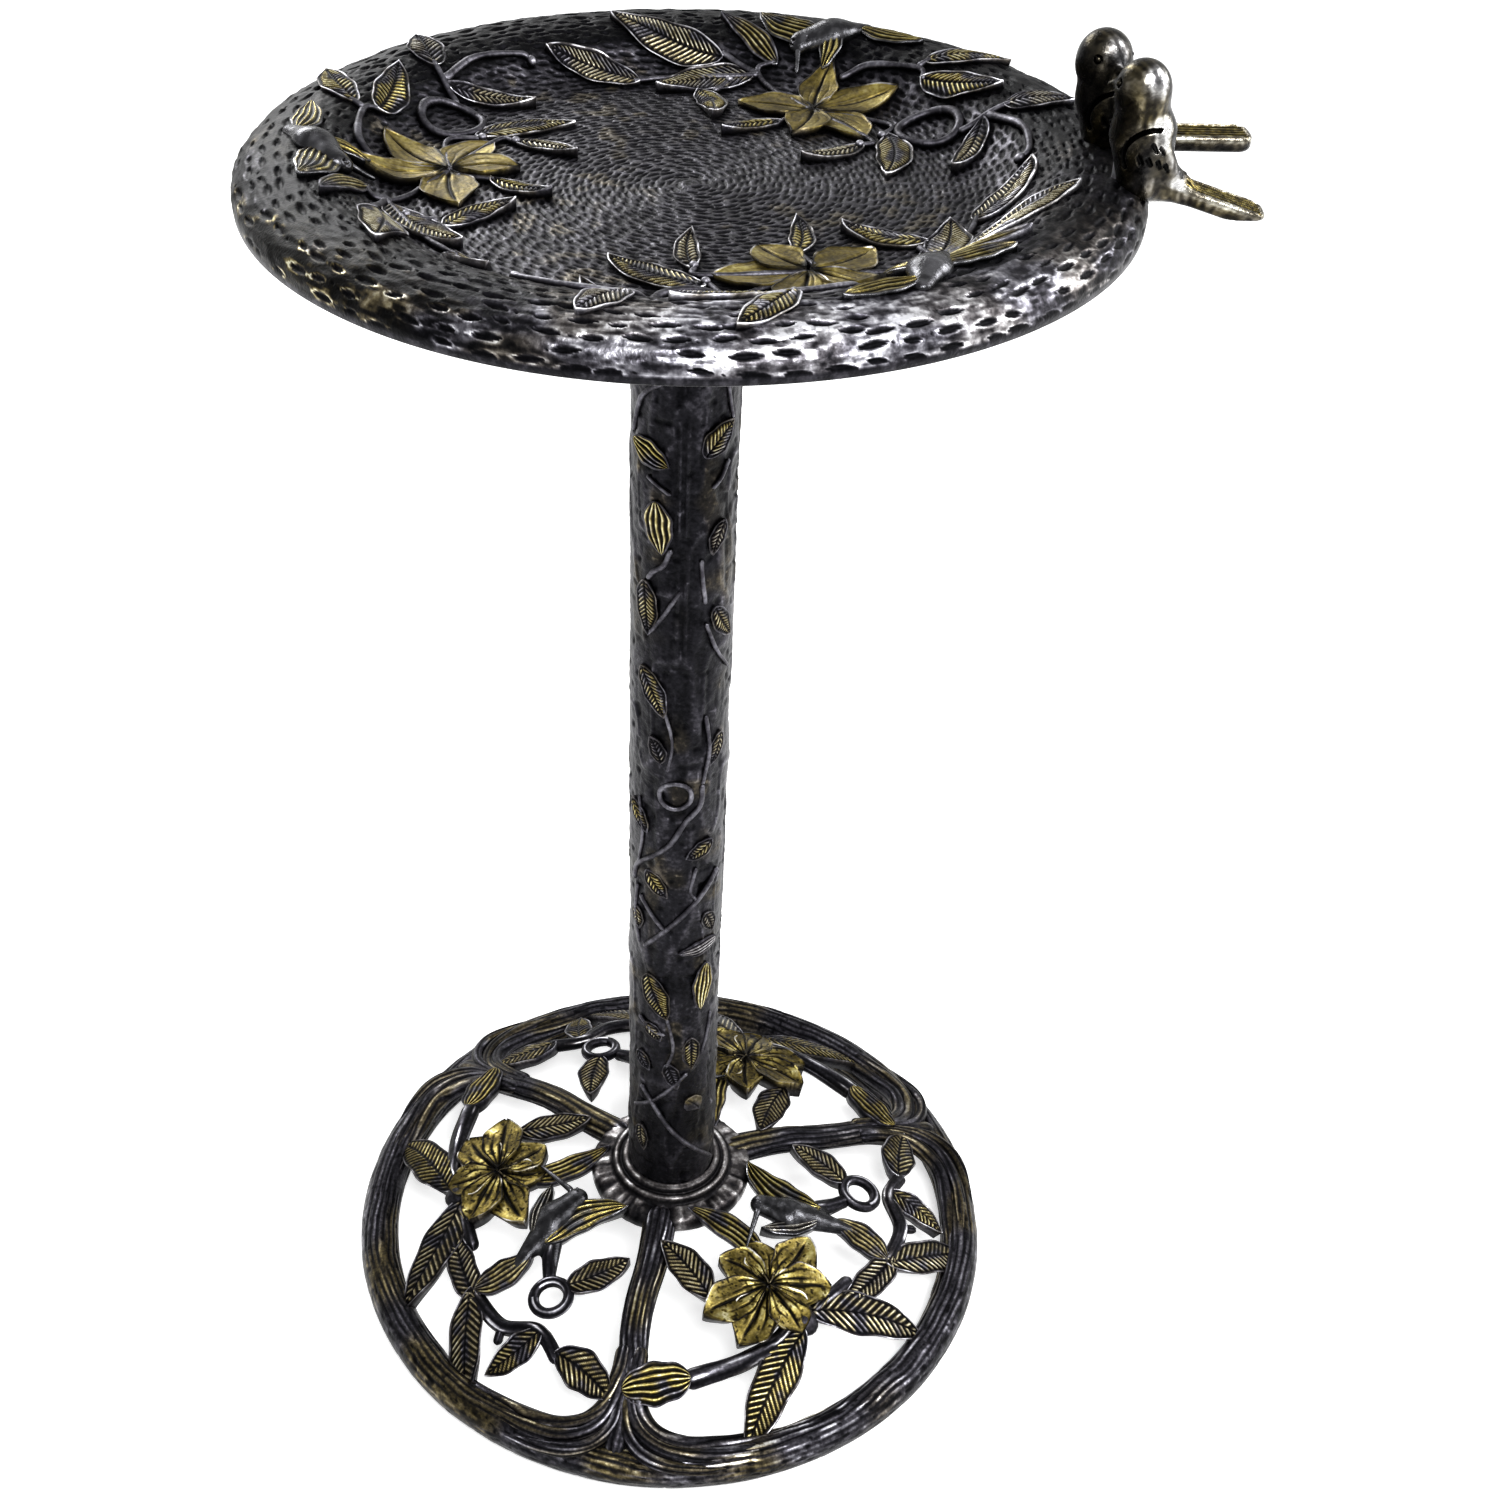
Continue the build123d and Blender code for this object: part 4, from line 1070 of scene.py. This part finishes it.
def top_skin(r, along, theta):
    """How far one ring of the bowl's top moves off the top line, its wear with painted highlights and shade,
    and its gilt.
    """

    def lap(cells, height, seed):
        """Noise with this many cells round the bowl, each this tall."""
        return noise(theta / TAU * cells, np.full(len(theta), along / height), seed, cells)

    def facing(degrees, spread):
        """1 on the side of the bowl at this angle, falling to 0 away from it."""
        return bell((theta - math.radians(degrees) + math.pi) % TAU - math.pi, spread)

    x, y = r * np.cos(theta), r * np.sin(theta)
    on_lip = step_up(along, lip_start - 4, lip_start + 4)
    floor_pits = pits(np.full(len(theta), r), theta, 4.0, 8.4, 8.0, 2.5, 201, slant=0.16) * (1 - on_lip)
    lip_pits, rims = (layer * on_lip for layer in lip_pattern(theta, along - lip_start))
    lump = noise(x / 9 + 50, y / 9 + 50, 221)
    broad = noise(x / 38 + 50, y / 38 + 50, 222)
    grit = noise(x / 2.4 + 500, y / 2.4 + 500, 223)
    streak, scab = lap(230, 1.7, 227), lap(96, 6.5, 228)

    move = -0.8 * floor_pits * (1 - bell(r, 6)) - 1.3 * lip_pits + 0.5 * (lump - 0.5)
    move = move + 0.7 * (broad - 0.5) * on_lip
    move = move + (0.7 * (lap(200, 4.5, 224) - 0.5) + 0.6 * (streak - 0.5)) * on_lip
    move = (move + 0.8 * bell(r - 3, 3)) * step_up(top_length - along, 0, 2.5)

    # The lip has a painted silver highlight in front and on the right, painted shade on the left with painted
    # silver specks low down, and painted shade at the back
    front, right, left = facing(280, 0.62), facing(322, 0.35), facing(215, 0.6)
    away = step_up(np.sin(theta), -0.2, 0.5)
    face = step_up(along, lip_start + 16, lip_start + 34)
    low_face = step_up(along, lip_start + 36, lip_start + 50)
    speck = step_up(lap(520, 1.9, 225), 0.62, 0.85)
    wear = 0.46 + 0.22 * (grit - 0.5) + 0.16 * (lump - 0.5) - 0.46 * floor_pits - 0.42 * lip_pits
    wear = wear - 0.22 * on_lip * speck
    rubbed = step_up(0.55 * scab + 0.45 * streak, 0.27, 0.56)
    silver_glint = (0.43 * front * face + 0.30 * right * low_face) * (0.42 + 0.58 * rubbed)
    silver_glint = silver_glint + 0.40 * left * low_face * step_up(streak * scab, 0.28, 0.40)
    silver_glint = silver_glint + rims * (0.12 * front * face + 0.28 * right * low_face + 0.75 * left * low_face)
    silver_glint = silver_glint + 0.22 * front * (1 - face) * step_up(streak, 0.62, 0.85)
    # The crust is darker in streaks, with painted shade away from the front, on the left, at the back and
    # towards the lip's lower edge
    crust_and_shade = (0.28 + 0.3 * left) * (streak - 0.5) + 0.20 * (scab - 0.5) - 0.22 * (1 - front) - 0.42 * left
    crust_and_shade = crust_and_shade - 0.30 * away - 0.12 * step_up(along, top_length - 9, top_length - 3)
    wear = wear + on_lip * (1 - lip_pits) * (silver_glint + crust_and_shade) - on_lip * 0.12 * lip_pits
    # Painted shade round the ornament
    wear = wear - 0.34 * step_up(ornament_shade(x, y), 0.05, 0.75)
    gilt = 0.6 * step_up(0.5 * broad + 0.5 * lap(46, 11, 226), 0.44, 0.62) * on_lip * (0.3 + 0.9 * left)
    # The gilt thins out under the painted highlight in front
    gilt = gilt * (1 - lip_pits) * (1 - 0.8 * front * face)
    return move, wear, gilt + 0.3 * step_up(lump * broad, 0.38, 0.55) * (1 - on_lip)


def stitch(counts):
    """Quads between neighbouring rings of one count, and fans where one count is a multiple."""
    starts = [sum(counts[:number]) for number in range(len(counts))]
    groups = []
    for start, count, next_start, next_count in zip(starts, counts, starts[1:], counts[1:]):
        if count == next_count:
            j = np.arange(count)
            k = (j + 1) % count
            groups.append(np.stack([start + j, next_start + j, next_start + k, start + k], -1))
            continue
        small, big = min(count, next_count), max(count, next_count)
        widens = count < next_count
        small_start, big_start = (start, next_start) if widens else (next_start, start)
        share = big // small
        j = np.arange(small)
        k = (j + 1) % small
        fans = []
        for step in range(share):
            owner = small_start + (j if step < share // 2 else k)
            near = j * share + step
            fans.append(np.stack([owner, big_start + near, big_start + (near + 1) % big], -1))
        fans.append(np.stack([small_start + j, big_start + j * share + share // 2, small_start + k], -1))
        fans = np.vstack(fans)
        groups.append(fans if widens else fans[:, ::-1])
    return groups


# Rings of points, each count a multiple of the next smaller one
rings, wears, gilts = [], [], []
for (r, z), normal, along in zip(top_line, top_normal, top_along):
    theta = once_round(150 if r < 30 else 300 if r < 60 else 600 if r < 120 else 1200)
    move, wear, gilt = top_skin(r, along, theta)
    rings.append(polar(r + normal[0] * move, theta, z + normal[1] * move))
    wears.append(wear)
    gilts.append(gilt)
for r, z in under_line:
    count = 1200 if r > RIM - WALL - 1 else 300 if r > 60 else 150
    theta = once_round(count)
    mottle = noise(theta / TAU * count / 3, np.full(count, top_length + r / 3), 229, count // 3)
    rings.append(polar(r, theta, np.full(count, z)))
    wears.append(0.12 + 0.3 * mottle)
    gilts.append(np.zeros(count))
faces = stitch([len(points) for points in rings])
total = sum(len(points) for points in rings)
j = np.arange(len(rings[0]))
faces.append(np.stack([j * 0 + total, j, (j + 1) % len(j)], -1))
j, last = np.arange(len(rings[-1])), total - len(rings[-1])
faces.append(np.stack([j * 0 + total + 1, last + (j + 1) % len(j), last + j], -1))
caps = np.array([[0, 0, rings[0][:, 2].mean()], [0, 0, rings[-1][0, 2]]])
bowl = Shell()
bowl.put(np.vstack([*rings, caps]), np.r_[np.concatenate(wears), 0.5, 0.2],
         np.r_[np.concatenate(gilts), 0, 0], faces)
bowl.make("bowl", "bowl", ["dish"], "pewter")


# Songbirds

TAIL_RIBS = 3.3
PANEL_START = 12.0
WING_SLOTS = ((3.3, 15.6, 15.7), (7.4, 14.9, 14.0), (6.6, 15.0, 7.4), (10.9, 13.4, 5.2), (1.6, 15.8, 8.9),
              (-3.0, 15.6, 9.6))


def unit(vector):
    return vector / np.linalg.norm(vector)


def songbird(name, node, body, head, head_size, beak_way, tail_tip, tail_half, root_z, painted_light):
    """A plump sitting bird with a flat tail, folded wings, an eye each side and a short beak. body is its
    place on the bowl, and the heights are above the floor. The last number sets how strong its painted
    highlight is and how light it is all over."""
    bx, by = body
    head = np.array(head, float)
    way = unit(np.array(beak_way, float))
    root = np.array([bx + 10, by, root_z])
    run = np.array(tail_tip, float) - root
    run_length = np.linalg.norm(run)
    run = run / run_length
    flat_side = np.array([0.0, 1.0, 0.0])
    flat_side = unit(flat_side - run * (flat_side @ run))
    up = np.cross(run, flat_side)
    eye_out = unit(np.cross(way, [0, 0, 1.0]))

    def parts(p):
        """Distance to the bird, then places across, along and above its tail."""
        d = cone(p, head, head + (0, 0, -1), head_size, head_size)
        d = soft_min(d, cone(p, head - (0, 0, 6), (bx, by, 846), head_size - 1.0, 14.2), 6)
        d = soft_min(d, cone(p, (bx, by, 842), (bx + 3.5, by, 825), 14.8, 13.8), 6)
        rump = (bx + 20, by + (tail_tip[1] - by) * 0.3, root_z - 1)
        d = soft_min(d, cone(p, (bx + 7, by, 823), rump, 10.5, 6.5), 7)
        q = [p[i] - root[i] for i in range(3)]
        w, a, h = (q[0] * axis[0] + q[1] * axis[1] + q[2] * axis[2] for axis in (flat_side, run, up))
        bend = tail_half * 0.75
        past_end = np.maximum(np.abs(a - run_length / 2) - run_length / 2 + bend, 0)
        past_side = np.maximum(np.abs(w) - tail_half + bend, 0)
        past_edge = np.maximum(np.hypot(past_end, past_side) - bend + 2.6, 0)
        past_face = np.maximum(np.abs(h) - 1.6, 0)
        d = soft_min(d, np.sqrt(past_edge**2 + past_face**2) - 2.6, 7)
        for side in (-1, 1):
            shoulder, tip = (bx + 2, by + side * 9.0, 837), (bx + 13, by + side * 7, 825)
            wing = cone(p, shoulder, tip, 11.8, 7.0, (1, 0.64, 1))
            d = soft_min(d, wing, 1.0)
        beak = cone(p, head + way * 9.5, head + way * 18.0 - (0, 0, 1.5), 4.6, 1.2)
        return soft_min(d, beak, 2.5), w, a, h

    # Each slot's place is moved onto the bird's surface
    slots = []
    for dx, dy, dz in WING_SLOTS:
        for side in (-1, 1):
            a = np.array([bx + dx, by + side * dy, 826 + dz])
            for _ in range(4):
                slope = np.array([parts(a + e)[0] - parts(a - e)[0] for e in np.eye(3) * 0.5])
                a = a - slope / max(np.linalg.norm(slope), 1e-6) * parts(a)[0]
            slots.append((a, side))

    def dimples(p):
        """Distance to the slots cut in the back above each wing."""
        s = np.full(np.shape(p[0]), 99.0)
        for a, side in slots:
            s = np.minimum(s, cone(p, a + (-1.0, side * 0.3, 1.7), a + (1.0, -side * 0.3, -1.7), 1.3, 1.0))
        return s

    seat = bowl_z(np.hypot(bx, by)) - 11

    def field(p):
        """Distance to the bird with its wing grooves, eyes, slots and ribbed tail, cut off in the lip."""
        d, w, a, h = parts(p)
        for side in (-1, 1):
            reach = np.hypot(p[0] - bx - 2.5, p[2] - 837)
            sector = step_up(-(p[0] - bx) + 0.7 * (p[2] - 837), -4, 3) * step_up((p[1] - by) * side, 5, 8)
            d = np.maximum(d, (1.6 - np.abs(reach - 12.8)) * sector - 20 * (1 - sector) - 0.4)
        for side in (-1, 1):
            d = with_eye(d, p, head + way * 7.5 + eye_out * side * 9.8 + np.array([0, 0, 2.5]), 2.3, 1.5)
        d = np.maximum(d, -dimples(p))
        panel = np.maximum(np.maximum(np.abs(w) - tail_half + 2.2, 0.8 - h),
                           np.maximum(PANEL_START - a, a - run_length + 3.0))
        d = np.maximum(d, np.minimum(-panel, d + 0.9 - 0.4 * np.cos(w * TAU / TAIL_RIBS)))
        return np.maximum(d, seat - p[2])

    low, high = (bx - 26, by - 26, seat - 1), (tail_tip[0] + 6, by + 26, head[2] + 16)
    points, quads = surface(field, low, high, 0.7)
    x, y, z = points.T
    d, w, a, h = parts(points.T)
    out = np.stack([(parts((points + e).T)[0] - parts((points - e).T)[0]) for e in np.eye(3) * 0.4], -1)
    out /= np.maximum(np.linalg.norm(out, axis=1, keepdims=True), 1e-6)
    # Painted highlight where the surface faces a fixed light from the front right and above
    light = out @ np.array([0.34, -0.77, 0.54])
    smudge = noise(x * 0.14 + 9, y * 0.12 + z * 0.1, 281)
    fleck = noise(x * 0.6, z * 0.6 + y * 0.4, 282)
    brushed = noise(x * 0.5 + y * 0.35, z * 0.11 + y * 0.05, 283)
    carved = step_up(-d, 0.12, 0.6) * (a < PANEL_START - 2)
    on_tail = step_up(a, PANEL_START - 3, PANEL_START + 3)
    wear = 0.20 + 0.3 * painted_light + painted_light * step_up(light, 0.76, 0.97) * (0.35 + 0.9 * smudge)
    wear = wear + 0.22 * (fleck - 0.5) + 0.4 * (brushed - 0.5) - 0.6 * carved
    # Painted shade where the surface faces down and where it faces sideways
    wear = wear - 0.12 * step_up(-out[:, 2], 0.2, 0.9)
    wear = wear - 0.3 * step_up(np.abs(out[:, 0]), 0.7, 0.96) * (1 - on_tail)

    # The tail's upper side is a gilt ribbed panel in a plain border
    upper = step_up(h, 0.2, 1.6) * on_tail
    border = step_up(np.abs(w), tail_half - 3.0, tail_half - 2.0)
    border = np.clip(border + step_up(a, run_length - 4, run_length - 2.8), 0, 1)
    ridged = 0.5 + 0.5 * np.cos(w * TAU / TAIL_RIBS)
    panel = 0.08 + 0.62 * ridged * (0.5 + 0.8 * fleck) + 0.2 * (brushed - 0.5)
    rail = 0.50 + 0.30 * smudge + 0.3 * (fleck - 0.5)
    wear = wear * (1 - upper) + upper * (panel * (1 - border) + rail * border)
    # Painted shade under the tail, and less gilt where the painted highlight falls
    wear = wear - 0.2 * on_tail * step_up(-h, 0, 2)
    gilt = (0.08 + 0.5 * smudge) * (1 - 0.7 * step_up(light, 0.7, 0.98)) * (1 - upper)
    gilt = gilt + upper * (0.95 * (1 - border) + 0.3 * border)
    bird = Shell()
    bird.put(points, wear, gilt, [quads])
    bird.make(name, "bowl", [node], "bronze")


songbird("songbird_back", "songbird_rear", body=(206, 11), head=(201.5, 8, 864), head_size=13.2,
         beak_way=(0.45, -0.85, -0.1), tail_tip=(281, 14, 822), tail_half=10.5, root_z=823.0, painted_light=0.42)
songbird("songbird_near", "songbird_front", body=(215, -40), head=(211.5, -43, 867), head_size=12.6,
         beak_way=(-0.72, 0.62, -0.1), tail_tip=(278, -44, 804), tail_half=10.2, root_z=820.0, painted_light=0.68)


# Floor, light and camera, in metres

FLOOR_REACH = 40.0
WORLD_LIGHT = 0.62
EYE = (0, -0.993, 1.190)
PITCH, ROLL = math.radians(37.06), math.radians(-1.107)
SENSOR, LENS, SHIFT = 36, 48.91, 0.0474

scene = bpy.context.scene
floor_mesh = bpy.data.meshes.new("floor")
corners = [(FLOOR_REACH * x, FLOOR_REACH * y, 0) for x, y in ((-1, -1), (1, -1), (1, 1), (-1, 1))]
floor_mesh.from_pydata(corners, [], [(0, 1, 2, 3)])
floor = bpy.data.objects.new("floor", floor_mesh)
scene.collection.objects.link(floor)
floor_material, _, floor_shader = new_material("studio_floor")
floor_shader.inputs["Base Color"].default_value = (0.92, 0.92, 0.92, 1)
floor_shader.inputs["Roughness"].default_value = 0.9
floor_shader.inputs["Specular IOR Level"].default_value = 0.1
floor_shader.inputs["Emission Color"].default_value = (1, 1, 1, 1)
floor_shader.inputs["Emission Strength"].default_value = 0.55
floor_mesh.materials.append(floor_material)

world = bpy.data.worlds.new("studio")
scene.world = world
world.use_nodes = True
world.node_tree.nodes["Background"].inputs[0].default_value = (1.0, 1.0, 1.0, 1)
world.node_tree.nodes["Background"].inputs[1].default_value = WORLD_LIGHT


def soft_light(name, place, target, size, power):
    data = bpy.data.lights.new(name, "AREA")
    data.shape = "RECTANGLE"
    data.size, data.size_y = size
    data.energy = power
    lamp = bpy.data.objects.new(name, data)
    scene.collection.objects.link(lamp)
    lamp.location = place
    lamp.rotation_mode = "QUATERNION"
    lamp.rotation_quaternion = (Vector(target) - Vector(place)).to_track_quat("-Z", "Y")
soft_light("key", (0.6, -1.6, 2.6), (0, 0, 0.6), size=(1.3, 0.8), power=85)
soft_light("side", (2.2, 0.3, 1.8), (0, 0, 0.5), size=(0.8, 1.6), power=45)
soft_light("back", (-1.2, 2.2, 2.0), (0, 0, 0.5), size=(1.6, 0.8), power=40)

camera_data = bpy.data.cameras.new("camera")
camera = bpy.data.objects.new("camera", camera_data)
scene.collection.objects.link(camera)
ahead = Vector((0, math.cos(PITCH), -math.sin(PITCH)))
level_up = Vector((0, math.sin(PITCH), math.cos(PITCH)))
right = Vector((1, 0, 0)) * math.cos(ROLL) - level_up * math.sin(ROLL)
upward = Vector((1, 0, 0)) * math.sin(ROLL) + level_up * math.cos(ROLL)
pose = Matrix((right, upward, -ahead)).transposed().to_4x4()
pose.translation = Vector(EYE)
camera.matrix_world = pose
camera_data.sensor_width = SENSOR
camera_data.lens = LENS
camera_data.shift_x = SHIFT
camera_data.clip_start, camera_data.clip_end = 0.05, 60
scene.camera = camera
scene.view_settings.view_transform = "Standard"
scene.view_settings.look = "None"
